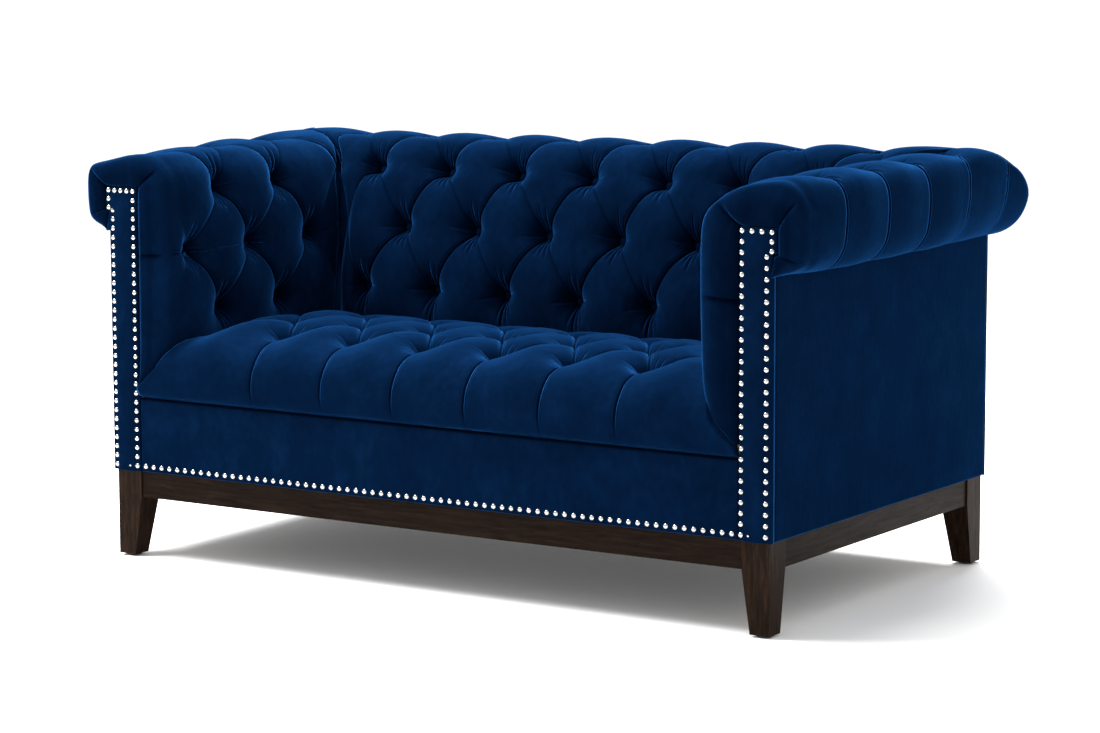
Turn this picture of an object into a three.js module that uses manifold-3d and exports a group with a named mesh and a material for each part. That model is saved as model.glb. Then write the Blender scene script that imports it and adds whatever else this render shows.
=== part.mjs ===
// Two-seat tufted sofa with rolled arms and back on a low wooden base.
// Millimetres, +Z up, the sitter faces -Y. The origin is the middle of the footprint on the floor.
import * as THREE from "three";
import { mergeVertices } from "three/addons/utils/BufferGeometryUtils.js";
import Module from "manifold-3d";

// ---- Driving dimensions ----
const GAP = 0.3; // clearance between touching pieces

// Upholstered body, measured from the flat front plane (y = 0)
const BODY_HALF = 730; // outside arm face
const BODY_DEPTH = 830; // outside back face
const BODY_BOTTOM = 169;
const ROLL_HALF = 790; // widest point of the rolled arms
const ROLL_BACK = 890; // rearmost point of the rolled back
const ROLL_TOP = 792;
const ROLL_UNDER = 632; // underside of the roll, outside the body
const ARM_INSIDE = 590; // inside face of each arm
const SEAT_NOSE = 14; // how far the seat stands in front of the front plane
const SEAT_TOP = 446;
const SEAT_SEAM = 312; // seam between the seat and the front rail cover
const NOSE_HEIGHT = 358; // height of the seat's foremost line
const WING_TOP = 412; // top of the seat's ends, in front of the arm pads
const BACK_FACE = 592; // inside back at the roll

// Wooden base
const BASE_INSET = 6.5;
const GLIDE_HEIGHT = 4;
const GLIDE_RADIUS = 15;
const LEG_TOP = 56;
const LEG_FOOT = 39;
const RAIL_HEIGHT = 51;
const RAIL_THICK = 22;
const RAIL_SETBACK = 3; // rail face behind the leg face
const BOLT_RADIUS = 4;
const BOLT_CLEARANCE = 0.4;

// Hidden frame
const BOARD = 25;
const POST_WIDTH = 73;
const POST_DEPTH = 30;
const BACK_POST_FRONT = 700;
const SEAT_RAIL_TOP = 300;
const SEAT_BACK_RAIL = 600; // front face of the rear spring rail
const DUST_COVER = 1.5;
const SPRING_COUNT = 6;
const SPRING_PITCH = 200;
const SPRING_WIRE = 2; // radius
const SPRING_WAVES = 8;
const SPRING_SWING = 22;
const SPRING_CROWN = 10;

// Covers and facings
const PANEL = 6; // thickness of an outside panel
const FACING_THICK = 12;
const FACING_INNER = 664;
const FACING_HEAD = 737; // widened head under the roll
const HEAD_BOTTOM = 674;
const HEAD_TOP = 717;
const COVER_SETBACK = 3; // front rail cover behind the facings

// Decorative nails
const NAIL_RADIUS = 5;
const NAIL_HEIGHT = 3.2;
const STRIP_THICK = 1;
const STRIP_WIDTH = 2.4;
const NAIL_LOW = 180.5;
const NAIL_HIGH = 711;
const NAIL_INNER = 670;
const NAIL_OUTER = 719;
const NAIL_HEAD = 729;
const NAIL_NECK = 673; // top of the outer column, where the head widens
const FRONT_NAILS = 71;
const NAIL_COUNTS = {
  left: { inner: 31, outer: 29, top: 5 },
  right: { inner: 29, outer: 26, top: 4 },
};

const FOOTPRINT_MID = (ROLL_BACK - SEAT_NOSE) / 2;

// ---- Materials ----
const material = (color, roughness, metalness = 0) =>
  new THREE.MeshStandardMaterial({ color, roughness, metalness });
const velvet = () => material(0x0b2c66, 0.85);
const darkWood = () => material(0x2b1a14, 0.45);
const frameWood = () => material(0xb99b6b, 0.8);
const steel = () => material(0x8b8f94, 0.4, 1);
const nickel = () => material(0xc9ccd0, 0.2, 1);
const nylon = () => material(0x111112, 0.6);
const cloth = () => material(0x17171a, 0.95);
const webbing = () => material(0xa98f62, 0.9);

// ---- Solid modelling ----
const wasm = await Module();
wasm.setup();

function solidOf(geometry) {
  const bare = geometry.clone();
  bare.deleteAttribute("normal");
  bare.deleteAttribute("uv");
  const merged = mergeVertices(bare, 1e-3);
  return new wasm.Manifold(
    new wasm.Mesh({
      numProp: 3,
      vertProperties: merged.attributes.position.array,
      triVerts: new Uint32Array(merged.index.array),
    }),
  );
}

function geometryOf(solid) {
  const mesh = solid.getMesh();
  const geometry = new THREE.BufferGeometry();
  geometry.setAttribute("position", new THREE.BufferAttribute(mesh.vertProperties, mesh.numProp));
  geometry.setIndex(new THREE.BufferAttribute(mesh.triVerts, 1));
  return geometry;
}

const join = (...parts) => geometryOf(parts.map(solidOf).reduce((a, b) => a.add(b)));
const cut = (body, ...tools) => geometryOf(tools.map(solidOf).reduce((a, b) => a.subtract(b), solidOf(body)));
const common = (a, b) => geometryOf(solidOf(a).intersect(solidOf(b)));

// ---- Prisms: an outline swept along one axis ----
const outline = (points) => new THREE.Shape(points.map(([a, b]) => new THREE.Vector2(a, b)));

function prism(shape, length, round, segments) {
  return new THREE.ExtrudeGeometry(shape, {
    depth: length - 2 * round,
    curveSegments: segments,
    bevelEnabled: round > 0,
    bevelThickness: round,
    bevelSize: round,
    bevelOffset: -round,
    bevelSegments: 3,
  }).translate(0, 0, round);
}

const turn = (x, y, z) =>
  new THREE.Matrix4().makeBasis(
    new THREE.Vector3(...x),
    new THREE.Vector3(...y),
    new THREE.Vector3(...z),
  );
const AS_SIDE = turn([0, 1, 0], [0, 0, 1], [1, 0, 0]); // outline in (y, z), swept along x
const AS_FRONT = turn([1, 0, 0], [0, 0, 1], [0, -1, 0]); // outline in (x, z), swept along y

const alongX = (shape, x0, x1, round = 0, segments = 5) =>
  prism(shape, x1 - x0, round, segments).applyMatrix4(AS_SIDE).translate(x0, 0, 0);
const alongY = (shape, y0, y1, round = 0, segments = 5) =>
  prism(shape, y1 - y0, round, segments).applyMatrix4(AS_FRONT).translate(0, y1, 0);
const alongZ = (shape, z0, z1, round = 0, segments = 5) =>
  prism(shape, z1 - z0, round, segments).translate(0, 0, z0);

const block = ([x0, x1], [y0, y1], [z0, z1]) =>
  new THREE.BoxGeometry(x1 - x0, y1 - y0, z1 - z0).translate((x0 + x1) / 2, (y0 + y1) / 2, (z0 + z1) / 2);
const across = (half) => [-half, half];

function add(group, name, geometry, surface) {
  const mesh = new THREE.Mesh(geometry, surface);
  mesh.name = name;
  group.add(mesh);
  return mesh;
}

const sofa = new THREE.Group();
const body = new THREE.Group(); // measured from the front plane
body.position.y = -FOOTPRINT_MID;
sofa.add(body);

// ---- Wooden base ----
const BASE_TOP = BODY_BOTTOM - GAP;
const BASE_UNDER = BODY_BOTTOM - RAIL_HEIGHT;
const LEG_BOTTOM = GLIDE_HEIGHT + GAP;
const BASE_HALF = BODY_HALF - BASE_INSET;
const BOLT_HEIGHT = BODY_BOTTOM - RAIL_HEIGHT / 2;
const BLOCK_THICK = 22;
const BLOCK_INSET = 4; // corner block kept this far inside the rail's top and bottom edges
const BOLT_IN_LEG = 34;

// A cylinder lying on the corner's diagonal, from inside the base into the leg.
function diagonalRod(radius, from, to, sides) {
  const rod = new THREE.CylinderGeometry(radius, radius, to - from, sides).translate(0, (to + from) / 2, 0);
  return rod.rotateZ(-Math.PI / 4).translate(LEG_TOP, LEG_TOP, BOLT_HEIGHT);
}

// Each corner is drawn once, with the outer corner of the leg at the local origin.
function legGeometry() {
  const taper = outline([
    [0, LEG_BOTTOM],
    [LEG_FOOT, LEG_BOTTOM],
    [LEG_TOP, BASE_UNDER],
    [LEG_TOP, BASE_TOP],
    [0, BASE_TOP],
  ]);
  const leg = common(alongX(taper, 0, LEG_TOP), alongY(taper, 0, LEG_TOP));
  return cut(leg, diagonalRod(BOLT_RADIUS + BOLT_CLEARANCE, -BOLT_IN_LEG - 2, BLOCK_THICK, 8));
}

function glideGeometry() {
  const profile = [
    [0, 0],
    [GLIDE_RADIUS - 1.5, 0],
    [GLIDE_RADIUS, 1.5],
    [GLIDE_RADIUS, GLIDE_HEIGHT],
    [0, GLIDE_HEIGHT],
  ].map(([r, z]) => new THREE.Vector2(r, z));
  return new THREE.LatheGeometry(profile, 16).rotateX(Math.PI / 2).translate(LEG_FOOT / 2, LEG_FOOT / 2, 0);
}

function cornerBlockGeometry() {
  const near = RAIL_SETBACK + RAIL_THICK + GAP; // inside faces of the two rails
  const meet = 2 * LEG_TOP + 2 * GAP; // x + y on the diagonal through the leg's inner corner
  const far = meet + BLOCK_THICK * Math.SQRT2;
  const plan = outline([
    [near, meet - near],
    [near, far - near],
    [far - near, near],
    [meet - near, near],
  ]);
  const wedge = alongZ(plan, BASE_UNDER + BLOCK_INSET, BASE_TOP - BLOCK_INSET);
  return cut(wedge, diagonalRod(BOLT_RADIUS + BOLT_CLEARANCE, -5, BLOCK_THICK + 5, 8));
}

function legBoltGeometry() {
  const washer = BLOCK_THICK + 3 * GAP;
  return join(
    diagonalRod(BOLT_RADIUS, -BOLT_IN_LEG, washer + 12, 8),
    diagonalRod(9, washer, washer + 1.6, 12),
    diagonalRod(7.5, washer + 1.5, washer + 8, 6),
  );
}

const CORNERS = {
  front_left: [-1, 1],
  front_right: [1, 1],
  back_left: [-1, -1],
  back_right: [1, -1],
};
for (const [place, [side, inward]] of Object.entries(CORNERS)) {
  const corner = new THREE.Group();
  corner.position.set(side * BASE_HALF, inward > 0 ? BASE_INSET : BODY_DEPTH - BASE_INSET, 0);
  corner.scale.set(-side, inward, 1);
  body.add(corner);
  add(corner, `leg_${place}`, legGeometry(), darkWood());
  add(corner, `glide_${place}`, glideGeometry(), nylon());
  add(corner, `corner_block_${place}`, cornerBlockGeometry(), frameWood());
  add(corner, `leg_bolt_${place}`, legBoltGeometry(), steel());
}

const RAIL_Z = [BASE_UNDER, BASE_TOP];
const betweenLegsX = across(BASE_HALF - LEG_TOP - GAP);
const betweenLegsY = [BASE_INSET + LEG_TOP + GAP, BODY_DEPTH - BASE_INSET - LEG_TOP - GAP];
const frontRailY = BASE_INSET + RAIL_SETBACK;
const backRailY = BODY_DEPTH - frontRailY;
const sideRailX = BASE_HALF - RAIL_SETBACK;
add(body, "base_rail_front", block(betweenLegsX, [frontRailY, frontRailY + RAIL_THICK], RAIL_Z), darkWood());
add(body, "base_rail_back", block(betweenLegsX, [backRailY - RAIL_THICK, backRailY], RAIL_Z), darkWood());
for (const [place, side] of [["left", -1], ["right", 1]]) {
  const rail = add(body, `base_rail_${place}`, block(across(RAIL_THICK / 2), betweenLegsY, RAIL_Z), darkWood());
  rail.position.x = side * (sideRailX - RAIL_THICK / 2);
}

// ---- Hidden seat frame and springs ----
const FRAME_BOTTOM = BODY_BOTTOM + 2 * GAP + DUST_COVER;
const POST_OUTER = BODY_HALF - PANEL - 1;
const POST_INNER = POST_OUTER - POST_WIDTH;
const POST_FRONT = FACING_THICK + GAP;
const FRONT_POST_BACK = POST_FRONT + POST_DEPTH;
const BACK_POST_INNER = POST_OUTER - POST_DEPTH;
const BACK_FRAME_REAR = BODY_DEPTH - PANEL - 0.5;
const BACK_RAIL_FRONT = BACK_FRAME_REAR - BOARD;
const SEAT_RAIL_Z = [FRAME_BOTTOM, SEAT_RAIL_TOP];

const DUST_MARGIN = 20;
add(
  body,
  "dust_cover",
  block(
    across(BODY_HALF - 2 * DUST_MARGIN),
    [DUST_MARGIN, BODY_DEPTH - DUST_MARGIN],
    [BODY_BOTTOM + GAP, BODY_BOTTOM + GAP + DUST_COVER],
  ),
  cloth(),
);
const springRailY = [POST_FRONT, POST_FRONT + BOARD];
const sideRailInner = BACK_POST_INNER - GAP - BOARD;
const rearRailY = [SEAT_BACK_RAIL, SEAT_BACK_RAIL + BOARD];
add(body, "seat_rail_front", block(across(POST_INNER - GAP), springRailY, SEAT_RAIL_Z), frameWood());
add(body, "seat_rail_back", block(across(sideRailInner - GAP), rearRailY, SEAT_RAIL_Z), frameWood());
for (const [place, side] of [["left", -1], ["right", 1]]) {
  const run = [FRONT_POST_BACK + GAP, BACK_RAIL_FRONT - GAP];
  const rail = add(body, `seat_rail_${place}`, block(across(BOARD / 2), run, SEAT_RAIL_Z), frameWood());
  rail.position.x = side * (sideRailInner + BOARD / 2);
}
const BRACE_TOP = 262;
add(
  body,
  "seat_centre_brace",
  block(across(BOARD / 2), [springRailY[1] + GAP, rearRailY[0] - GAP], [FRAME_BOTTOM, BRACE_TOP]),
  frameWood(),
);

// A sinuous spring snakes from the front rail to the rear rail and crowns upwards.
class SinuousSpring extends THREE.Curve {
  getPoint(t, target = new THREE.Vector3()) {
    const start = springRailY[0] + 8;
    const length = rearRailY[1] - 8 - start;
    return target.set(
      SPRING_SWING * Math.sin(2 * Math.PI * SPRING_WAVES * t),
      start + length * t,
      SPRING_CROWN * Math.sin(Math.PI * t),
    );
  }
}
const wireSection = outline(
  [0, 1, 2, 3, 4].map((i) => [
    SPRING_WIRE * Math.cos((2 * Math.PI * i) / 5),
    SPRING_WIRE * Math.sin((2 * Math.PI * i) / 5),
  ]),
);
for (let i = 0; i < SPRING_COUNT; i++) {
  const wire = new THREE.ExtrudeGeometry(wireSection, {
    steps: 6 * SPRING_WAVES,
    extrudePath: new SinuousSpring(),
    bevelEnabled: false,
  });
  const spring = add(body, `seat_spring_${i + 1}`, wire, steel());
  spring.position.set((i - (SPRING_COUNT - 1) / 2) * SPRING_PITCH, 0, SEAT_RAIL_TOP + SPRING_WIRE + 1);
}

const DECK_BOTTOM = 317;
const DECK_TOP = 319;
const DECK_BACK = 575;
add(
  body,
  "spring_cover",
  block(across(ARM_INSIDE - 5), [FRONT_POST_BACK, DECK_BACK], [DECK_BOTTOM, DECK_TOP]),
  webbing(),
);

// ---- Hidden back frame ----
const FRAME_TOP = HEAD_TOP - GAP;
const TOP_BOARD = 22;
add(
  body,
  "back_top_rail",
  block(across(BACK_POST_INNER - GAP), [BACK_POST_FRONT, BACK_FRAME_REAR], [FRAME_TOP - TOP_BOARD, FRAME_TOP]),
  frameWood(),
);
add(
  body,
  "back_bottom_rail",
  block(across(BACK_POST_INNER - GAP), [BACK_RAIL_FRONT, BACK_FRAME_REAR], [FRAME_BOTTOM, 260]),
  frameWood(),
);
add(
  body,
  "back_centre_post",
  block(
    across(BOARD / 2),
    [BACK_POST_FRONT, BACK_RAIL_FRONT - GAP],
    [FRAME_BOTTOM, FRAME_TOP - TOP_BOARD - GAP],
  ),
  frameWood(),
);
for (const [place, height] of [["lower", 480], ["upper", 600]]) {
  const strap = block(across(POST_OUTER - 8), [0, DUST_COVER], across(BOARD));
  strap.translate(0, BACK_POST_FRONT - GAP - DUST_COVER, height);
  add(body, `back_webbing_${place}`, strap, webbing());
}

// ---- Arms: frame, pad, roll, facing and outside panel ----
const facingShape = (grow) =>
  outline([
    [FACING_INNER - grow, BODY_BOTTOM + GAP],
    [BODY_HALF + grow, BODY_BOTTOM + GAP],
    [BODY_HALF + grow, HEAD_BOTTOM - grow],
    [FACING_HEAD + grow, HEAD_BOTTOM - grow],
    [FACING_HEAD + grow, HEAD_TOP + grow],
    [FACING_INNER - grow, HEAD_TOP + grow],
  ]);

const ARM_PAD_BACK = 590;
const ARM_PAD_THICK = 50;
const PAD_BOTTOM = SEAT_SEAM;
const BORDER_BOTTOM = WING_TOP + GAP;
const BORDER_FRONT = -2;

function armPadGeometry() {
  const padTop = HEAD_TOP - GAP;
  const rear = alongZ(
    outline([
      [ARM_INSIDE, FACING_THICK + 2 * GAP],
      [ARM_INSIDE + ARM_PAD_THICK, FACING_THICK + 2 * GAP],
      [ARM_INSIDE + ARM_PAD_THICK, ARM_PAD_BACK],
      [ARM_INSIDE, ARM_PAD_BACK],
    ]),
    PAD_BOTTOM,
    padTop,
  );
  const edge = new THREE.Shape();
  edge.moveTo(FACING_INNER - GAP, BORDER_FRONT);
  edge.lineTo(FACING_INNER - GAP, FACING_THICK);
  edge.lineTo(ARM_INSIDE + ARM_PAD_THICK, FACING_THICK + 10);
  edge.lineTo(ARM_INSIDE, FACING_THICK + 30);
  edge.quadraticCurveTo(ARM_INSIDE, BORDER_FRONT, ARM_INSIDE + 40, BORDER_FRONT);
  const posts = block([POST_INNER - GAP, POST_OUTER], [FACING_THICK, FRONT_POST_BACK], [0, ROLL_TOP]);
  return cut(join(rear, alongZ(edge, BORDER_BOTTOM, padTop)), posts);
}

function armRollGeometry() {
  const section = new THREE.Shape();
  section.moveTo(ARM_INSIDE, HEAD_TOP + GAP);
  section.bezierCurveTo(ARM_INSIDE, 765, 640, ROLL_TOP, 700, ROLL_TOP);
  section.lineTo(BODY_HALF, ROLL_TOP);
  section.bezierCurveTo(765, ROLL_TOP, ROLL_HALF, 765, ROLL_HALF, 725);
  section.lineTo(ROLL_HALF, 680);
  section.bezierCurveTo(ROLL_HALF, 650, 765, ROLL_UNDER, 745, ROLL_UNDER);
  section.lineTo(BODY_HALF + GAP, ROLL_UNDER);
  section.lineTo(BODY_HALF + GAP, HEAD_TOP + GAP);
  return cut(
    alongY(section, -4, BACK_FACE - GAP, 8, 4),
    alongY(facingShape(GAP), -10, FACING_THICK + GAP),
  );
}

function nailDome(x, z) {
  const profile = [
    [0, -STRIP_THICK / 2],
    [NAIL_RADIUS, -STRIP_THICK / 2],
    [0, NAIL_HEIGHT],
  ].map(([r, out]) => new THREE.Vector2(r, out));
  return new THREE.LatheGeometry(profile, 6).rotateX(Math.PI).translate(x, 0, z);
}

// Evenly spaced nails from one point to another, in (x, z), joined by a thin strip.
function nailRun([x0, z0], [x1, z1], count) {
  const parts = [];
  for (let i = 0; i < count; i++) {
    const t = count > 1 ? i / (count - 1) : 0;
    parts.push(nailDome(x0 + (x1 - x0) * t, z0 + (z1 - z0) * t));
  }
  const length = Math.hypot(x1 - x0, z1 - z0);
  const strip = new THREE.BoxGeometry(length, STRIP_THICK, STRIP_WIDTH).rotateY(-Math.atan2(z1 - z0, x1 - x0));
  parts.push(strip.translate((x0 + x1) / 2, 0, (z0 + z1) / 2));
  return parts;
}

const NAIL_STANDOFF = STRIP_THICK / 2 + GAP; // from the cover to the middle of the strip

function armNailGeometry({ inner, outer, top }) {
  const drop = (NAIL_HIGH - HEAD_BOTTOM) / 2 - 2;
  return join(
    ...nailRun([NAIL_INNER, NAIL_LOW], [NAIL_INNER, NAIL_HIGH], inner),
    ...nailRun([NAIL_OUTER, NAIL_LOW], [NAIL_OUTER, NAIL_NECK], outer),
    ...nailRun([NAIL_INNER, NAIL_HIGH], [NAIL_HEAD, NAIL_HIGH], top),
    ...nailRun([NAIL_HEAD, NAIL_HIGH], [NAIL_HEAD, NAIL_HIGH - 2 * drop], 3),
    ...nailRun([NAIL_INNER, NAIL_LOW], [NAIL_OUTER, NAIL_LOW], 4),
  ).translate(0, -NAIL_STANDOFF, 0);
}

for (const [place, side] of [["left", -1], ["right", 1]]) {
  const arm = new THREE.Group();
  arm.scale.x = side; // the arm is drawn once, on the +X side
  body.add(arm);
  const postX = [POST_INNER, POST_OUTER];
  add(
    arm,
    `arm_post_front_${place}`,
    block(postX, [POST_FRONT, FRONT_POST_BACK], [FRAME_BOTTOM, FRAME_TOP]),
    frameWood(),
  );
  add(
    arm,
    `arm_post_back_${place}`,
    block([BACK_POST_INNER, POST_OUTER], [BACK_POST_FRONT, BACK_FRAME_REAR], [FRAME_BOTTOM, FRAME_TOP]),
    frameWood(),
  );
  add(
    arm,
    `arm_top_rail_${place}`,
    block(postX, [FRONT_POST_BACK + GAP, BACK_POST_FRONT - GAP], [FRAME_TOP - TOP_BOARD, FRAME_TOP]),
    frameWood(),
  );
  add(arm, `arm_pad_${place}`, armPadGeometry(), velvet());
  add(arm, `arm_roll_${place}`, armRollGeometry(), velvet());
  add(arm, `arm_facing_${place}`, alongY(facingShape(0), 0, FACING_THICK), velvet());
  add(
    arm,
    `arm_outside_${place}`,
    block(
      [BODY_HALF - PANEL, BODY_HALF],
      [FACING_THICK + GAP, BODY_DEPTH - PANEL - GAP],
      [BODY_BOTTOM + GAP, HEAD_TOP - 12],
    ),
    velvet(),
  );
  add(arm, `nail_trim_${place}`, armNailGeometry(NAIL_COUNTS[place]), nickel());
}

// ---- Seat ----
// The seat reaches across in front of the arm pads, so its nose is wider than the rest.
function seatPadGeometry() {
  const pad = new THREE.Shape();
  pad.moveTo(-4, SEAT_SEAM + GAP);
  pad.quadraticCurveTo(-SEAT_NOSE, SEAT_SEAM + 12, -SEAT_NOSE, NOSE_HEIGHT);
  pad.bezierCurveTo(-SEAT_NOSE, 405, 50, SEAT_TOP, 110, SEAT_TOP);
  pad.lineTo(520, SEAT_TOP);
  pad.quadraticCurveTo(560, SEAT_TOP, DECK_BACK, 415);
  pad.lineTo(DECK_BACK, DECK_TOP + GAP);
  pad.lineTo(FRONT_POST_BACK - GAP, DECK_TOP + GAP);
  pad.lineTo(FRONT_POST_BACK - GAP, SEAT_SEAM + GAP);
  const wing = new THREE.Shape();
  wing.moveTo(-4, SEAT_SEAM + GAP);
  wing.quadraticCurveTo(-SEAT_NOSE, SEAT_SEAM + 12, -SEAT_NOSE, NOSE_HEIGHT);
  wing.quadraticCurveTo(-SEAT_NOSE, 390, FACING_THICK - GAP, WING_TOP);
  wing.lineTo(FACING_THICK - GAP, SEAT_SEAM + GAP);
  return join(
    alongX(pad, -(ARM_INSIDE - GAP), ARM_INSIDE - GAP),
    alongX(wing, -(FACING_INNER - 2 * GAP), FACING_INNER - 2 * GAP),
  );
}
add(body, "seat_pad", seatPadGeometry(), velvet());
add(
  body,
  "front_rail_cover",
  block(across(FACING_INNER - GAP), [COVER_SETBACK, FACING_THICK], [BODY_BOTTOM + GAP, SEAT_SEAM - GAP]),
  velvet(),
);
const FRONT_NAIL_PITCH = (2 * NAIL_INNER) / (FRONT_NAILS - 1);
const frontNails = join(
  ...nailRun(
    [-NAIL_INNER + FRONT_NAIL_PITCH, NAIL_LOW],
    [NAIL_INNER - FRONT_NAIL_PITCH, NAIL_LOW],
    FRONT_NAILS - 2,
  ),
);
add(body, "nail_trim_front", frontNails.translate(0, COVER_SETBACK - NAIL_STANDOFF, 0), nickel());

// ---- Back ----
function backPadGeometry() {
  const profile = outline([
    [552, SEAT_TOP + GAP],
    [540, 478],
    [556, 590],
    [BACK_FACE, HEAD_TOP - GAP],
    [690, HEAD_TOP - GAP],
    [690, SEAT_TOP + GAP],
  ]);
  return alongX(profile, -(ARM_INSIDE - GAP), ARM_INSIDE - GAP);
}

function backRollGeometry() {
  const corner = 95;
  const plan = new THREE.Shape();
  plan.moveTo(-ROLL_HALF, BACK_FACE);
  plan.lineTo(ROLL_HALF, BACK_FACE);
  plan.lineTo(ROLL_HALF, ROLL_BACK - corner);
  plan.quadraticCurveTo(ROLL_HALF, ROLL_BACK, ROLL_HALF - corner, ROLL_BACK);
  plan.lineTo(-ROLL_HALF + corner, ROLL_BACK);
  plan.quadraticCurveTo(-ROLL_HALF, ROLL_BACK, -ROLL_HALF, ROLL_BACK - corner);
  const bodyCore = block(across(BODY_HALF + GAP), [0, BODY_DEPTH + GAP], [0, HEAD_TOP + GAP]);
  return cut(alongZ(plan, ROLL_UNDER, ROLL_TOP - 5, 30, 6), bodyCore);
}
add(body, "back_pad", backPadGeometry(), velvet());
add(body, "back_roll", backRollGeometry(), velvet());
add(
  body,
  "back_outside",
  block(across(BODY_HALF), [BODY_DEPTH - PANEL, BODY_DEPTH], [BODY_BOTTOM + GAP, HEAD_TOP - 12]),
  velvet(),
);

export default sofa;
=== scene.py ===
"""Two-seat sofa in deep-buttoned blue velvet, with rolled arms, nickel nails and a dark wooden base.

Metres, +Z up, the sitter faces -Y. Depths are worked out from the flat front plane of the arms, and FRONT
takes them to the frame. The inside and the rolls are lofts: a section swept along the arm, the back or the
seat, whose surface is pushed out and in by diamond tufting.
"""

import math

import bmesh
import bpy
import numpy as np
from mathutils import Matrix, Vector


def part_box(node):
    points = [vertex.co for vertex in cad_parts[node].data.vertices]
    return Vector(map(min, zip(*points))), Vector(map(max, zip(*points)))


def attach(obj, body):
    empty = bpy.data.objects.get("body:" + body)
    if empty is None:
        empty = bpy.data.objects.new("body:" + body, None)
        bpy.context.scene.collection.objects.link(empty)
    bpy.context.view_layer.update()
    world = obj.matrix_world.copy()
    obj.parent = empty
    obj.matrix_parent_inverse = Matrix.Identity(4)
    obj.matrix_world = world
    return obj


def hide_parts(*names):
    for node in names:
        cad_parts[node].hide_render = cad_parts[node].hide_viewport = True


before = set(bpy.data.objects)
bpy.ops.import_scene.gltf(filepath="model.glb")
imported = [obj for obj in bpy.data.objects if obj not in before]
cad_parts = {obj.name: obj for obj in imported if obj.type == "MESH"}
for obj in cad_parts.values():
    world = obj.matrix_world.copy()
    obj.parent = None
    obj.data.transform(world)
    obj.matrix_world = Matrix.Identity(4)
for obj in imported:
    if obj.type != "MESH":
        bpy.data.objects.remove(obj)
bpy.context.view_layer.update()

SIDES = {"left": -1, "right": 1}

# ---- Places taken from the frame ----
FACING_LOW, FACING_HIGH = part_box("arm_facing_right")
PANEL_LOW, PANEL_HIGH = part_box("arm_outside_right")
COVER_LOW, COVER_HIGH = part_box("front_rail_cover")
FRONT = FACING_LOW.y  # frame y of the flat front plane
BODY_HALF = PANEL_HIGH.x
BODY_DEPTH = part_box("back_outside")[1].y - FRONT
BODY_BOTTOM = PANEL_LOW.z
ARM_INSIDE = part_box("arm_pad_right")[0].x
FACING_INNER = FACING_LOW.x
FACING_HEAD = FACING_HIGH.x
FACING_TOP = FACING_HIGH.z
SEAM = COVER_HIGH.z  # seam between the seat and the cover under it
GAP = 0.0006  # left between pieces that lie against each other

# ---- Tufting ----
STEPS = 30  # grid steps from one button row to the next
CROWDING = 0.68  # how far the grid closes up round the buttons
ARCH = 0.050  # how far each pleat bows towards the upper row, in rows
PLEAT_WIDTH = 0.0030
FOLD_REACH = 0.010  # half the width of a straight pleat's dark fold, in pleats
PIT_WIDTH = 0.021
PIT_FLOOR = 0.0070  # flat bottom of each pit, which the button fills
BUTTON_RADIUS = 0.0078
BUTTON_HEIGHT = 0.0042
# angle round the button in degrees, start and end in metres, strength from 0 to 1, bend per metre
WRINKLES = [
    (-56, 0.009, 0.046, 0.75, 3.0),
    (-77, 0.009, 0.058, 1.00, 1.5),
    (-99, 0.010, 0.052, 0.90, -1.0),
    (-120, 0.009, 0.050, 0.80, -3.0),
    (72, 0.009, 0.052, 0.80, -1.5),
    (98, 0.009, 0.056, 0.85, 1.5),
    (2, 0.012, 0.050, 0.30, 0.0),
    (180, 0.012, 0.052, 0.30, 0.0),
]
WRINKLE_DEPTH = 0.0036
WRINKLE_WIDTH = 0.0028
WRINKLE_FADE = (0.046, 0.058)  # distance from the button over which its wrinkles end

# how deep the two families of pleats are, on the seat, the back and the arms
EVEN_FOLDS = (0.80, 0.79)
BACK_FOLDS = (0.5, 1.0)
ARM_FOLDS = (1.0, 0.5)

# ---- Nails ----
NAIL_RADIUS = 0.0051
NAIL_HEIGHT = 0.0036
NAIL_LOW = 0.1805
NAIL_HIGH = 0.711
NAIL_INNER = 0.670
NAIL_OUTER = 0.719
NAIL_HEAD = 0.729
NAIL_NECK = 0.673  # height at which the arm's front narrows under the roll
NAIL_DROP = 0.0165  # between the nails of the short run beside the head
NECK_DROPS = {"left": 0.0, "right": 0.005}  # how far under the neck the outer run ends
NAIL_FACE = -0.0002  # depth of the nails' bases on the arms' fronts
FRONT_NAILS = 71
NAIL_COUNTS = {"left": (31, 29, 5), "right": (29, 26, 4)}


# ================= Shaders =================
def new_material(name):
    material = bpy.data.materials.new(name)
    material.use_nodes = True
    tree = material.node_tree
    tree.nodes.clear()
    output = tree.nodes.new("ShaderNodeOutputMaterial")
    shader = tree.nodes.new("ShaderNodeBsdfPrincipled")
    tree.links.new(shader.outputs["BSDF"], output.inputs["Surface"])
    return material, tree, shader


def plug(tree, socket, value):
    if isinstance(value, bpy.types.NodeSocket):
        tree.links.new(value, socket)
    elif value is not None:
        socket.default_value = value


def set_inputs(tree, shader, inputs):
    for name, value in inputs.items():
        plug(tree, shader.inputs[name], value)


def calc(tree, operation, *values):
    node = tree.nodes.new("ShaderNodeMath")
    node.operation = operation
    for socket, value in zip(node.inputs, values):
        plug(tree, socket, value)
    return node.outputs[0]


def times(tree, first, second):
    return calc(tree, "MULTIPLY", first, second)


def plus(tree, first, second):
    return calc(tree, "ADD", first, second)


def minus(tree, first, second):
    return calc(tree, "SUBTRACT", first, second)


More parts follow.
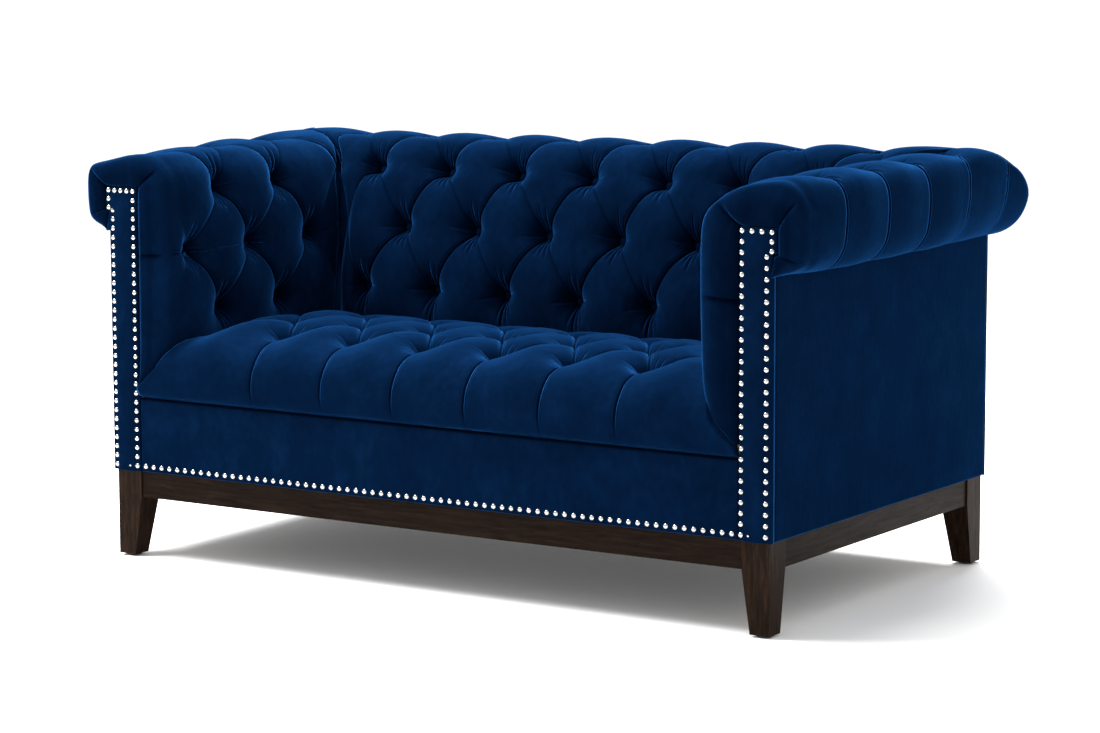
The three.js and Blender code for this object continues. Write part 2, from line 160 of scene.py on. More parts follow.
def noise(tree, scale, detail=3.0, roughness=0.5, stretch=(1, 1, 1), distortion=0.0):
    """Noise in object space, stretched along an axis by a small factor on it."""
    place = tree.nodes.new("ShaderNodeTexCoord")
    mapping = tree.nodes.new("ShaderNodeMapping")
    mapping.inputs["Scale"].default_value = stretch
    texture = tree.nodes.new("ShaderNodeTexNoise")
    texture.inputs["Scale"].default_value = scale
    texture.inputs["Detail"].default_value = detail
    texture.inputs["Roughness"].default_value = roughness
    texture.inputs["Distortion"].default_value = distortion
    tree.links.new(place.outputs["Object"], mapping.inputs["Vector"])
    tree.links.new(mapping.outputs["Vector"], texture.inputs["Vector"])
    return texture.outputs["Fac"]


def ramp(tree, factor, stops):
    node = tree.nodes.new("ShaderNodeValToRGB")
    elements = node.color_ramp.elements
    while len(elements) < len(stops):
        elements.new(0.5)
    for element, (position, colour) in zip(elements, stops):
        element.position = position
        element.color = (*colour, 1)
    tree.links.new(factor, node.inputs["Fac"])
    return node.outputs["Color"]


def remap(tree, value, low, high, to_low, to_high):
    node = tree.nodes.new("ShaderNodeMapRange")
    for socket, number in zip(list(node.inputs)[:5], (value, low, high, to_low, to_high)):
        plug(tree, socket, number)
    return node.outputs["Result"]


def bump(tree, height, distance, strength=1.0, below=None):
    node = tree.nodes.new("ShaderNodeBump")
    node.inputs["Strength"].default_value = strength
    node.inputs["Distance"].default_value = distance
    tree.links.new(height, node.inputs["Height"])
    if below is not None:
        tree.links.new(below, node.inputs["Normal"])
    return node.outputs["Normal"]


def mix_colour(tree, factor, first, second):
    node = tree.nodes.new("ShaderNodeMix")
    node.data_type = "RGBA"
    plug(tree, node.inputs["Factor"], factor)
    colours = [s for s in node.inputs if s.type == "RGBA"]
    for socket, value in zip(colours, (first, second)):
        plug(tree, socket, value if isinstance(value, bpy.types.NodeSocket) else (*value, 1))
    return [s for s in node.outputs if s.type == "RGBA"][0]


PLEAT_SPACING = 0.137  # metres between neighbouring pleats, which lattice steps are turned into
FOLD_OFFSET = 0.0058  # from a pleat to the fold line beside it
CREASE_WIDTH = 0.0026
FOLD_LINE_WIDTH = 0.0009
FOLD_LINE_STRENGTH = 0.45
# width of the painted highlight on the rim between a pleat and its fold line
RIM_HIGHLIGHT_WIDTH = 0.0016
WRINKLE_LINE = 0.0014
GLINT_OFFSET = 0.0030  # from a wrinkle to the painted highlight beside it
GLINT_WIDTH = 0.0012
PIT_SHADE = (0.008, 0.036)  # distance from the button over which its shade fades out


def ridge(tree, distance, centre, width):
    """1 on a line at that distance, falling to 0 over the width."""
    off = calc(tree, "DIVIDE", minus(tree, distance, centre), width)
    return calc(tree, "EXPONENT", times(tree, times(tree, off, off), -1.0))


def vector_parts(tree, name):
    node = tree.nodes.new("ShaderNodeAttribute")
    node.attribute_name = name
    parts = tree.nodes.new("ShaderNodeSeparateXYZ")
    tree.links.new(node.outputs["Vector"], parts.inputs[0])
    return parts.outputs["X"], parts.outputs["Y"], parts.outputs["Z"]


def pleat_lines(tree):
    """(crease, rim): the pleats with the fold line beside each, in painted shade, and a painted highlight
    on the rim between the two.
    """
    place_a, place_b, _ = vector_parts(tree, "lattice")
    strength_a, strength_b, _ = vector_parts(tree, "folds")
    creases, rim_highlights = [], []
    for place, upper, strength in ((place_a, 1.0, strength_a), (place_b, -1.0, strength_b)):
        nearest = calc(tree, "ROUND", place)
        distance = times(tree, minus(tree, place, nearest), upper * PLEAT_SPACING)
        sharp = ridge(tree, distance, 0.0, CREASE_WIDTH)
        second = times(tree, ridge(tree, distance, FOLD_OFFSET, FOLD_LINE_WIDTH), FOLD_LINE_STRENGTH)
        creases.append(times(tree, calc(tree, "MAXIMUM", sharp, second), strength))
        rim_highlights.append(times(tree, ridge(tree, distance, FOLD_OFFSET / 2, RIM_HIGHLIGHT_WIDTH), strength))
    return calc(tree, "MAXIMUM", *creases), calc(tree, "MAXIMUM", *rim_highlights)


def wrinkle_lines(tree):
    """(wrinkle, glint, depth): the short creases that run out from each button, in painted shade, a painted
    highlight beside each of them, and painted shade that is 1 at the button and fades out round it."""
    local_s, local_t, mask = vector_parts(tree, "tuck")
    total, beside = 0.0, 0.0
    for angle, start, end, strength, bend in WRINKLES:
        out_s, out_t = math.cos(math.radians(angle)), math.sin(math.radians(angle))
        out = plus(tree, times(tree, local_s, out_s), times(tree, local_t, out_t))
        side = minus(tree, times(tree, local_t, out_s), times(tree, local_s, out_t))
        side = plus(tree, side, times(tree, times(tree, out, out), bend))
        reach = remap(tree, out, start - 0.004, start + 0.002, 0.0, strength)
        reach = times(tree, reach, remap(tree, out, end - 0.020, end, 1.0, 0.0))
        line = times(tree, ridge(tree, side, 0.0, WRINKLE_LINE), reach)
        glint = times(tree, ridge(tree, side, GLINT_OFFSET, GLINT_WIDTH), reach)
        total = calc(tree, "MAXIMUM", total, line)
        beside = calc(tree, "MAXIMUM", beside, glint)
    distance = calc(tree, "SQRT", plus(tree, times(tree, local_s, local_s), times(tree, local_t, local_t)))
    depth = times(tree, remap(tree, distance, *PIT_SHADE, 1.0, 0.0), mask)
    return times(tree, total, mask), times(tree, beside, mask), depth


VELVET_DARK = (0.0005, 0.0034, 0.0124)
VELVET_MID = (0.0009, 0.0063, 0.0232)
VELVET_LIGHT = (0.0016, 0.0110, 0.0394)
VELVET_SHEEN = (0.04, 0.30, 1.0, 1)
# painted shade for the creases, the pits round the buttons and the wrinkles
VELVET_PAINTED_SHADE = (0.0001, 0.0008, 0.004)
VELVET_SHINE = 0.53
FOLD_SHINE = 0.04  # sheen of the velvet's shaded copy on the faces along the straight folds: painted shade, as down in a fold the pile hardly catches the light
CREASE_HEIGHT = 0.0011
# painted highlight beside the wrinkles
VELVET_GLINT = (0.0040, 0.0340, 0.125)


def velvet(name, lines, sheen=VELVET_SHINE):
    """Short-pile velvet whose nap lies a little differently from place to place. lines adds the creases, with
    painted shade in them and round the buttons, and painted highlights beside them.
    """
    material, tree, shader = new_material(name)
    nap = noise(tree, 11.0, 4.0, 0.55, (1, 1, 0.9), 0.4)
    brushed = noise(tree, 75.0, 3.0, 0.6, (1, 1, 0.6))
    pile = noise(tree, 1400.0, 2.0, 0.7)
    lie = plus(tree, times(tree, nap, 0.62), times(tree, brushed, 0.38))
    shade = tree.nodes.new("ShaderNodeVectorMath")
    shade.operation = "SCALE"
    tones = ramp(tree, lie, [(0.20, VELVET_DARK), (0.50, VELVET_MID), (0.80, VELVET_LIGHT)])
    tree.links.new(tones, shade.inputs[0])
    tree.links.new(remap(tree, pile, 0.3, 0.7, 0.80, 1.18), shade.inputs["Scale"])
    colour = shade.outputs[0]
    normal = bump(tree, pile, 0.0006, 0.35)
    normal = bump(tree, brushed, 0.0015, 0.30, normal)
    if lines:
        crease, rim = pleat_lines(tree)
        wrinkle, glint, depth = wrinkle_lines(tree)
        # rim and glint are painted highlights; depth, crease and wrinkle are painted shade in the pits,
        # creases and wrinkles
        layers = [
            (rim, 0.22, VELVET_LIGHT),
            (depth, 0.88, VELVET_PAINTED_SHADE),
            (crease, 0.95, VELVET_PAINTED_SHADE),
            (glint, 0.34, VELVET_GLINT),
            (wrinkle, 0.85, VELVET_PAINTED_SHADE),
        ]
        for line, strength, tone in layers:
            colour = mix_colour(tree, times(tree, line, strength), colour, tone)
        height = minus(tree, times(tree, rim, 0.4), crease)
        height = minus(tree, height, times(tree, wrinkle, 0.6))
        normal = bump(tree, height, CREASE_HEIGHT, 1.0, normal)
    set_inputs(tree, shader, {
        "Base Color": colour,
        "Roughness": remap(tree, brushed, 0.3, 0.7, 0.62, 0.80),
        "Normal": normal,
        "Specular IOR Level": 0.0,
        "Sheen Weight": sheen,
        "Sheen Roughness": 0.28,
        "Sheen Tint": VELVET_SHEEN,
    })
    return material


def wood(name, tones, roughness, fine):
    """Straight-grained wood of three tones, dark to light. fine is smallest along the grain."""
    material, tree, shader = new_material(name)
    grain = noise(tree, 26.0, 6.0, 0.62, fine, 0.35)
    pores = noise(tree, 150.0, 2.0, 0.5, fine)
    lie = plus(tree, times(tree, grain, 0.72), times(tree, pores, 0.28))
    colour = ramp(tree, lie, list(zip((0.34, 0.50, 0.66), tones)))
    wear = noise(tree, 7.0, 3.0)
    colour = mix_colour(tree, remap(tree, wear, 0.45, 0.75, 0.0, 0.35), colour, tones[-1])
    set_inputs(tree, shader, {
        "Base Color": colour,
        "Roughness": remap(tree, lie, 0.35, 0.65, roughness + 0.08, roughness - 0.06),
        "Normal": bump(tree, lie, 0.0006, 0.45),
        "Specular IOR Level": 0.03,
    })
    return material


def metal(name, base, roughness, spread):
    material, tree, shader = new_material(name)
    polish = noise(tree, 220.0, 3.0, 0.6)
    tone = noise(tree, 35.0, 2.0)
    dull = tuple(0.86 * c for c in base)
    set_inputs(tree, shader, {
        "Base Color": ramp(tree, tone, [(0.35, dull), (0.65, base)]),
        "Roughness": remap(tree, polish, 0.3, 0.7, roughness, roughness + spread),
        "Normal": bump(tree, polish, 0.0001, 0.25),
        "Metallic": 1.0,
    })
    return material


def moulded(name, base, roughness):
    material, tree, shader = new_material(name)
    texture = noise(tree, 900.0, 2.0, 0.6)
    lifted = tuple(1.6 * c + 0.004 for c in base)
    set_inputs(tree, shader, {
        "Base Color": ramp(tree, texture, [(0.35, base), (0.7, lifted)]),
        "Roughness": remap(tree, texture, 0.3, 0.7, roughness, roughness + 0.12),
        "Normal": bump(tree, texture, 0.0004, 0.4),
    })
    return material


def woven(name, dark, light, pitch):
    """Plain weave: two crossed sets of threads, with uneven yarn."""
    material, tree, shader = new_material(name)
    place = tree.nodes.new("ShaderNodeTexCoord")
    parts = tree.nodes.new("ShaderNodeSeparateXYZ")
    tree.links.new(place.outputs["Object"], parts.inputs[0])
    threads = []
    for pair in (("X", "Z"), ("Y", "Z")):
        along = plus(tree, parts.outputs[pair[0]], parts.outputs[pair[1]])
        wave = calc(tree, "SINE", times(tree, along, 2 * math.pi / pitch))
        threads.append(calc(tree, "ABSOLUTE", wave))
    weave = calc(tree, "MAXIMUM", *threads)
    yarn = noise(tree, 260.0, 3.0)
    lie = times(tree, weave, remap(tree, yarn, 0.3, 0.7, 0.7, 1.15))
    set_inputs(tree, shader, {
        "Base Color": ramp(tree, lie, [(0.2, dark), (0.9, light)]),
        "Normal": bump(tree, lie, 0.0006, 0.6),
        "Roughness": remap(tree, yarn, 0.3, 0.7, 0.85, 0.98),
        "Sheen Weight": 0.2,
    })
    return material


def matt_painted_shade(name, dark, light):
    """Matt, dark velvet with no shine of its own, for a tube that stands in for the shade down in a seam:
    painted shade.
    """
    material, tree, shader = new_material(name)
    texture = noise(tree, 300.0, 2.0)
    tones = ramp(tree, texture, [(0.35, dark), (0.7, light)])
    set_inputs(tree, shader, {"Base Color": tones, "Roughness": 1.0, "Specular IOR Level": 0.0})
    return material


TUFTED_VELVET = velvet("velvet_pleated", lines=True)
FOLD_SHADED_VELVET = velvet("velvet_fold_shaded", lines=True, sheen=FOLD_SHINE)
PLAIN_VELVET = velvet("velvet_plain", lines=False)
ESPRESSO = ((0.0052, 0.0026, 0.0015), (0.0125, 0.0066, 0.0038), (0.0260, 0.0140, 0.0085))
# the rails get a darker copy of the legs' wood: painted shade
ESPRESSO_SHADED = [tuple(0.6 * part for part in tone) for tone in ESPRESSO]
ESPRESSO_RAIL = wood("espresso_rail", ESPRESSO_SHADED, 0.40, (0.5, 6.0, 6.0))
ESPRESSO_SIDE = wood("espresso_side", ESPRESSO_SHADED, 0.40, (6.0, 0.5, 6.0))
ESPRESSO_LEG = wood("espresso_leg", ESPRESSO, 0.34, (6.0, 6.0, 0.6))
HARDWOOD = ((0.30, 0.19, 0.09), (0.50, 0.34, 0.17), (0.66, 0.48, 0.28))
FRAME_WOOD = wood("frame_hardwood", HARDWOOD, 0.70, (5.0, 0.8, 5.0))
NICKEL = metal("polished_nickel", (0.62, 0.61, 0.585), 0.14, 0.08)
STEEL = metal("drawn_steel", (0.42, 0.43, 0.45), 0.32, 0.15)
# painted shade: the dark velvet of the tube in the seat's seam
SEAM_SHADE_VELVET = matt_painted_shade("seam_shade_velvet", (0.0003, 0.0012, 0.0042), (0.0005, 0.0020, 0.0070))
NYLON = moulded("black_nylon", (0.012, 0.012, 0.013), 0.50)
DUST_CLOTH = woven("black_dust_cloth", (0.004, 0.004, 0.005), (0.020, 0.020, 0.022), 0.0011)
JUTE = woven("woven_jute", (0.16, 0.11, 0.05), (0.46, 0.35, 0.19), 0.0030)


# ================= Mesh building =================
def smoothstep(low, high, value):
    t = np.clip((value - low) / (high - low), 0, 1)
    return t * t * (3 - 2 * t)


def finish_piece(name, vertices, faces, material, replaced=()):
    """Makes the object from points in front-plane metres, closes its normals and ties it to the frame."""
    points = np.array(vertices, float)
    points[:, 1] += FRONT
    mesh = bpy.data.meshes.new(name)
    mesh.from_pydata(points.tolist(), [], faces)
    mesh.validate()
    shape = bmesh.new()
    shape.from_mesh(mesh)
    bmesh.ops.recalc_face_normals(shape, faces=shape.faces)
    shape.to_mesh(mesh)
    shape.free()
    mesh.shade_smooth()
    piece = bpy.data.objects.new(name, mesh)
    bpy.context.scene.collection.objects.link(piece)
    mesh.materials.append(material)
    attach(piece, "root")
    if replaced:
        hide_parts(*replaced)
    return piece


SECTION_STEPS = 24  # fine steps between two points of a section


class Section:
    """A smooth outline through the given points. marks says which row number each marked point has, and
    at() gives the place at any row number, evenly by length between marks."""

    def __init__(self, points, marks):
        points = np.array(points, float)
        fine, where = [], [0]
        for i in range(len(points) - 1):
            before = points[max(i - 1, 0)]
            after = points[min(i + 2, len(points) - 1)]
            span = np.linalg.norm(points[i + 1] - points[i])
            start = (points[i + 1] - before) / max(np.linalg.norm(points[i + 1] - before), 1e-9) * span
            end = (after - points[i]) / max(np.linalg.norm(after - points[i]), 1e-9) * span
            t = np.linspace(0, 1, SECTION_STEPS, endpoint=False)[:, None]
            fine.append(
                (2 * t**3 - 3 * t**2 + 1) * points[i]
                + (t**3 - 2 * t**2 + t) * start
                + (-2 * t**3 + 3 * t**2) * points[i + 1]
                + (t**3 - t**2) * end
            )
            where.append(where[-1] + len(t))
        self.line = np.vstack(fine + [points[-1:]])
        steps = np.linalg.norm(np.diff(self.line, axis=0), axis=1)
        self.length = np.concatenate([[0], np.cumsum(steps)])
        self.rows = np.array([row for _, row in marks], float)
        self.marked = np.array([self.length[where[i]] for i, _ in marks])

    def at(self, rows):
        along = np.interp(rows, self.rows, self.marked)
        return np.stack([np.interp(along, self.length, self.line[:, c]) for c in (0, 1)], -1)


def crowd(steps):
    """Grid places from 0 to 1, closer together at both ends."""
    t = np.arange(steps) / steps
    return t - CROWDING * np.sin(2 * np.pi * t) / (2 * np.pi)


def lattice_line(low, high, unit, origin):
    """Places from low to high that hold every whole multiple of unit from origin, crowded round each."""
    first = math.floor((low - origin) / unit)
    last = math.ceil((high - origin) / unit)
    places = np.concatenate([origin + unit * (k + crowd(STEPS)) for k in range(first, last + 1)])
    inside = places[(places > low + 1e-4) & (places < high - 1e-4)]
    return np.concatenate([[low], inside, [high]])


def grid_normals(grid):
    along = np.gradient(grid, axis=0)
    across = np.gradient(grid, axis=1)
    normal = np.cross(along, across)
    return normal / np.maximum(np.linalg.norm(normal, axis=2, keepdims=True), 1e-12)


def jitter(first, second, seed):
    """A steady pseudo-random number from -1 to 1 for each lattice cell or button."""
    return 2 * np.modf(np.abs(np.sin(first * 12.9898 + second * 78.233 + seed * 37.719) * 43758.5453))[0] - 1


def tufting(along, rows, pitch, origin, row_metres, last_row, has_button, depths, seed, folds):
    """The parts of a tufted surface's height above its plain one, with the lattice place for the shader.

    along and rows are grids: metres along the piece, and button rows across it. A button sits at every
    place where both lattice numbers are whole, and has_button(place, row) says how much of it is really
    there. Past the first and last rows the pleats run straight. folds says how deep the two families of
    pleats are.
    """
    held = np.clip(rows, 0, last_row)
    past = (rows - held) * row_metres
    a = (along - origin) / pitch + held / 2
    b = (along - origin) / pitch - held / 2
    near_a, near_b = np.round(a), np.round(b)
    off_a, off_b = a - near_a, b - near_b
    spacing = pitch * row_metres / math.hypot(pitch / 2, row_metres)
    line_a, line_b = np.abs(off_a) * spacing, np.abs(off_b) * spacing
    node_row = near_a - near_b
    node_place = origin + pitch * (near_a + near_b) / 2
    local_s = pitch * (off_a + off_b) / 2
    local_t = row_metres * (off_a - off_b) + past
    distance = np.hypot(local_s, local_t)
    button = has_button(node_place, node_row)
    pit_depth = np.interp(rows, depths["rows"], depths["pit"])
    pleat_depth = np.interp(rows, depths["rows"], depths["pleat"])
    puff = np.interp(rows, depths["rows"], depths["puff"])
    dome = (np.abs(np.sin(np.pi * a)) * np.abs(np.sin(np.pi * b))) ** 0.75
    uneven = 1 + 0.12 * jitter(np.floor(a), np.floor(b), seed)
    crease = np.maximum(folds[0] * np.exp(-line_a / PLEAT_WIDTH), folds[1] * np.exp(-line_b / PLEAT_WIDTH))
    crease = crease * (1 - 0.4 * smoothstep(0.0, 0.02, np.abs(past)))
    pit = np.exp(-((np.clip(distance - PIT_FLOOR, 0, None) / PIT_WIDTH) ** 1.2))
    lean = np.radians(9 * jitter(near_a, near_b, seed))
    local_s, local_t = (
        local_s * np.cos(lean) - local_t * np.sin(lean),
        local_s * np.sin(lean) + local_t * np.cos(lean),
    )
    wrinkle = np.zeros_like(distance)
    for angle, start, end, strength, bend in WRINKLES:
        out_s, out_t = math.cos(math.radians(angle)), math.sin(math.radians(angle))
        out = local_s * out_s + local_t * out_t
        side = local_t * out_s - local_s * out_t + bend * out**2
        reach = smoothstep(start - 0.004, start + 0.006, out) * (1 - smoothstep(end - 0.018, end, out))
        wrinkle += WRINKLE_DEPTH * strength * reach * np.exp(-((side / WRINKLE_WIDTH) ** 2))
    tuck = button * (1 - smoothstep(*WRINKLE_FADE, distance))
    return {
        "puff": puff * uneven * dome,
        "pit": -pit_depth * pit * button,
        "crease": -pleat_depth * crease,
        "wrinkle": -wrinkle * button,
        "a": a,
        "b": b,
        "tuck": np.stack([local_s, local_t, tuck], -1),
    }


def add_lattice(piece, a, b, mask, tuck, folds):
    """Stores, for the shader, the lattice place, the strength of both families of pleats, which sets their
    painted shade and highlights, and the place round the nearest button with the button's strength, which
    sets the painted shade there and also carries the painted shade of the inner corner and the arm's border.
    They go on the first vertices, which are the tufted grid's."""
    between = smoothstep(-0.15, 0.1, a - b) * (1 - smoothstep(LAST_ROW - 0.1, LAST_ROW - 0.001, a - b))
    weaker = [between if fold < max(folds) else 1 for fold in folds]
    none = np.zeros_like(a)
    place = np.stack([a, b, none], -1)
    strengths = np.stack([mask * folds[0] * weaker[0], mask * folds[1] * weaker[1], none], -1)
    for name, grid in (("lattice", place), ("folds", strengths), ("tuck", tuck)):
        values = np.zeros((len(piece.data.vertices), 3), np.float32)
        values[: a.size] = grid.reshape(-1, 3)
        piece.data.attributes.new(name, "FLOAT_VECTOR", "POINT").data.foreach_set("vector", values.ravel())


def darken_folds(piece, a, b, mask):
    """Gives the narrow faces along the straight pleats, past the first and last rows, the velvet's shaded
    copy with little sheen, as painted shade.
    """
    mesh = piece.data
    mesh.materials.append(FOLD_SHADED_VELVET)
    corners = np.empty(len(mesh.loops), np.int32)
    starts = np.empty(len(mesh.polygons), np.int32)
    mesh.loops.foreach_get("vertex_index", corners)
    mesh.polygons.foreach_get("loop_start", starts)
    counts = np.diff(np.append(starts, len(corners)))

    def per_face(grid, outside):
        values = np.full(len(mesh.vertices), outside, float)
        values[: grid.size] = grid.ravel()
        return np.add.reduceat(values[corners], starts) / counts

    place, row, strength = per_face(a, 0.5), per_face(a - b, -9.0), per_face(mask, 0.0)
    drift = per_face(np.abs(np.gradient(a, axis=1)), 1.0)
    straight = (np.minimum(np.abs(row), np.abs(row - LAST_ROW)) < 0.001) & (drift < 1e-4)
    dark = straight & (np.abs(place - np.round(place)) < FOLD_REACH) & (strength > 0.5)
    mesh.polygons.foreach_set("material_index", dark.astype(np.int32))
    mesh.update()


def tufted_faces(index, a, b):
    """Triangles of a tufted grid of vertices. Each quad is split along the pleat that passes nearest."""
    mid_a = (a[:-1, :-1] + a[1:, 1:]) / 2
    mid_b = (b[:-1, :-1] + b[1:, 1:]) / 2
    falling = np.abs(mid_a - np.round(mid_a)) < np.abs(mid_b - np.round(mid_b))
    faces = []
    for k, i in np.ndindex(falling.shape):
        p, q, r, s = index[k, i], index[k + 1, i], index[k + 1, i + 1], index[k, i + 1]
        faces += [(p, q, s), (q, r, s)] if falling[k, i] else [(p, q, r), (p, r, s)]
    return faces


def closed_loft(name, grid, back_path, replaced, lattice, mask, tuck, folds):
    """A closed velvet body from a grid of stations by section points, and the hidden points that close each
    section. The grid's vertices come first, then the hidden ones, then the middles of the two ends.
    lattice, mask, tuck and folds are for the shader."""
    stations, across = grid.shape[:2]
    hidden = back_path.shape[1]
    a, b = lattice
    count = stations * across
    index = np.arange(count).reshape(stations, across)
    back = count + np.arange(stations * hidden).reshape(stations, hidden)
    faces = tufted_faces(index, a, b)
    wrap = np.concatenate([index[:, -1:], back, index[:, :1]], axis=1)
    for k in range(stations - 1):
        for i in range(wrap.shape[1] - 1):
            faces.append((wrap[k, i], wrap[k, i + 1], wrap[k + 1, i + 1], wrap[k + 1, i]))
    vertices = [grid.reshape(-1, 3), back_path.reshape(-1, 3)]
    middle = count + stations * hidden
    for k in (0, stations - 1):
        vertices.append(np.concatenate([grid[k], back_path[k]]).mean(0)[None])
        ring = [*index[k], *back[k]]
        faces += [(p, q, middle) for p, q in zip(ring, ring[1:] + ring[:1])]
        middle += 1
    faces = [tuple(map(int, face)) for face in faces]
    piece = finish_piece(name, np.vstack(vertices), faces, TUFTED_VELVET, replaced)
    add_lattice(piece, a, b, mask, tuck, folds)
    darken_folds(piece, a, b, mask)
    return piece


def shell_faces(rows, columns):
    """Faces of a thin closed shell: a grid of points in front, the same grid behind it, and the rim."""
    index = np.arange(rows * columns).reshape(rows, columns)
    behind = rows * columns
    faces = []
    for k in range(rows - 1):
        for i in range(columns - 1):
            quad = (index[k, i], index[k + 1, i], index[k + 1, i + 1], index[k, i + 1])
            faces.append(quad)
            faces.append(tuple(p + behind for p in reversed(quad)))
    rim = [*index[:, 0], *index[-1, 1:], *index[-2::-1, -1], *index[0, -2:0:-1]]
    for p, q in zip(rim, rim[1:] + rim[:1]):
        faces.append((q, p, p + behind, q + behind))
    return [tuple(map(int, face)) for face in faces]


def dome_mesh(radius, height, rings, sides, skirt):
    """(points, faces) of one closed dome: its base at z = 0, its top at height, a skirt below the base."""
    points, faces = [(0, 0, height)], []
    for r in range(1, rings + 1):
        angle = math.pi / 2 * r / rings
        for s in range(sides):
            turn = 2 * math.pi * s / sides
            reach = radius * math.sin(angle)
            points.append((reach * math.cos(turn), reach * math.sin(turn), height * math.cos(angle)))
    for s in range(sides):
        turn = 2 * math.pi * s / sides
        points.append((0.7 * radius * math.cos(turn), 0.7 * radius * math.sin(turn), -skirt))
    for s in range(sides):
        n = (s + 1) % sides
        faces.append((0, 1 + s, 1 + n))
        for r in range(rings):
            a, b = 1 + r * sides, 1 + (r + 1) * sides
            faces.append((a + s, b + s, b + n, a + n))
    faces.append(tuple(1 + rings * sides + s for s in reversed(range(sides))))
    return np.array(points, float), faces


def scatter(name, shape, places, material, replaced=()):
    """One object made of copies of a shape, each at (centre, direction) with its top along the direction."""
    points, faces = shape
    all_points, all_faces = [], []
    for n, (centre, direction) in enumerate(places):
        turn = np.array(Vector((0, 0, 1)).rotation_difference(Vector(direction)).to_matrix())
        all_points.append(points @ turn.T + np.array(centre))
        all_faces += [tuple(v + n * len(points) for v in face) for face in faces]
    return finish_piece(name, np.vstack(all_points), all_faces, material, replaced)


BUTTON = dome_mesh(BUTTON_RADIUS, BUTTON_HEIGHT, 5, 20, 0.002)
BUTTON_LIFT = 0.001
BUTTON_SEARCH = 0.012


def buttons_on(name, grid, normals, heights, has_button, pitch, origin):
    """A covered button in every pit of a finished grid, at the grid point nearest to its middle."""
    near_a, near_b = np.round(heights["a"]), np.round(heights["b"])
    off = np.hypot(heights["tuck"][..., 0], heights["tuck"][..., 1])
    strength = has_button(origin + pitch * (near_a + near_b) / 2, near_a - near_b)
    wanted = (off < BUTTON_SEARCH) & (strength > 0.5)
    places = {}
    for k, i in zip(*np.nonzero(wanted)):
        key = (near_a[k, i], near_b[k, i])
        if key not in places or off[k, i] < off[places[key]]:
            places[key] = (k, i)
    centres = [(grid[at] + BUTTON_LIFT * normals[at], normals[at]) for at in places.values()]
    return scatter(name, BUTTON, centres, PLAIN_VELVET)


# ================= Seat =================
SEAT_PITCH = 0.161
SEAT_LAST_ROW = 3
SEAT_LEAN = 0.017  # how far the nose pleats drift sideways on their way down to the seam
SEAT_END_ROUND = 0.090
SEAT_END_DROP = 0.024
SEAT_END_START = 0.50  # where the ends begin to widen in front of the arms
SEAT_SECTION = Section(
    [
        (0.0100, SEAM + 0.0006), (-0.0060, 0.3235), (-0.0140, 0.346), (-0.0145, 0.364), (-0.0095, 0.384),
        (0.0040, 0.403), (0.0280, 0.422), (0.0600, 0.434), (0.0950, 0.4405), (0.1300, 0.4440),
        (0.2600, 0.4500), (0.3900, 0.4440), (0.4700, 0.4330), (0.5000, 0.4260), (0.5150, 0.4100),
        (0.5220, 0.3850), (0.5250, 0.3400),
    ],
    [(0, -1.6), (9, 0), (10, 1), (11, 2), (12, 3), (16, 4)],
)
# a thin dark tube in the seam under the seat's nose: painted shade
SEAM_SHADE_RADIUS = 0.0021
SEAM_SHADE_DEPTH = 0.0016
SEAM_SHADE_RISE = 0.0010
SEAM_SHADE_REACH = 0.6605
SEAM_SHADE_STEPS = 60
SEAM_SHADE_SIDES = 10
SEAT_PLEATS_END = (0.485, 0.560)  # distance from the middle over which the pleats on top run out
SEAT_NOSE_PLEATS_END = 0.45
SEAT_INSIDE = ARM_INSIDE - 0.004  # half its width between the arms
SEAT_END_HEIGHTS = [0.30, 0.338, 0.346, 0.376, 0.412, 0.450]
SEAT_ENDS = [0.6625, 0.6600, 0.6450, 0.6130, 0.5940, SEAT_INSIDE]
SEAT_ROW_LOW = -1.6
SEAT_ROW_HIGH = 4.0
SEAT_ROW_METRES = 0.130
SEAT_DEPTHS = {
    "rows": [SEAT_ROW_LOW, -1.0, 0, 1.5, SEAT_ROW_HIGH],
    "pit": [0.020, 0.028, 0.037, 0.025, 0.014],
    "puff": [0.002, 0.006, 0.013, 0.009, 0.004],
    "pleat": [0.003, 0.0085, 0.0090, 0.0080, 0.005],
}
SEAT_UNDERSIDE = [
    (0.530, 0.330), (0.45, 0.322), (0.25, 0.322), (0.06, 0.322), (0.0445, 0.3135), (0.012, 0.3133),
]


def seat_half_width(depth, height):
    """How far out the seat reaches: wide on its nose, in front of the arms, and narrow between them."""
    nose = np.interp(height, SEAT_END_HEIGHTS, SEAT_ENDS)
    return nose + (SEAT_INSIDE - nose) * smoothstep(0.004, 0.045, depth)


def seat_surface(along, rows):
    """The seat's plain surface, for places along it and rows across it: (points, half width there)."""
    bowed = rows + ARCH * np.sin(np.pi * rows) ** 2 * ((rows > 0) & (rows < SEAT_LAST_ROW))
    section = SEAT_SECTION.at(bowed)
    half = seat_half_width(section[..., 0], section[..., 1])
    beyond = np.clip(np.abs(along) - SEAT_END_START, 0, None) / (SEAT_INSIDE - SEAT_END_START)
    x = np.sign(along) * (np.minimum(np.abs(along), SEAT_END_START) + beyond * (half - SEAT_END_START))
    lean = SEAT_LEAN * (1 - smoothstep(-1.2, 0.0, rows))
    lean = lean * (1 - smoothstep(0.42, SEAT_END_START, np.abs(along)))
    return np.stack([x + lean, section[..., 0], section[..., 1]], -1), half


def seat_button(place, row):
    return 1.0 * (np.abs(place) < SEAT_END_START) * (row > -0.5) * (row < SEAT_LAST_ROW - 0.5)


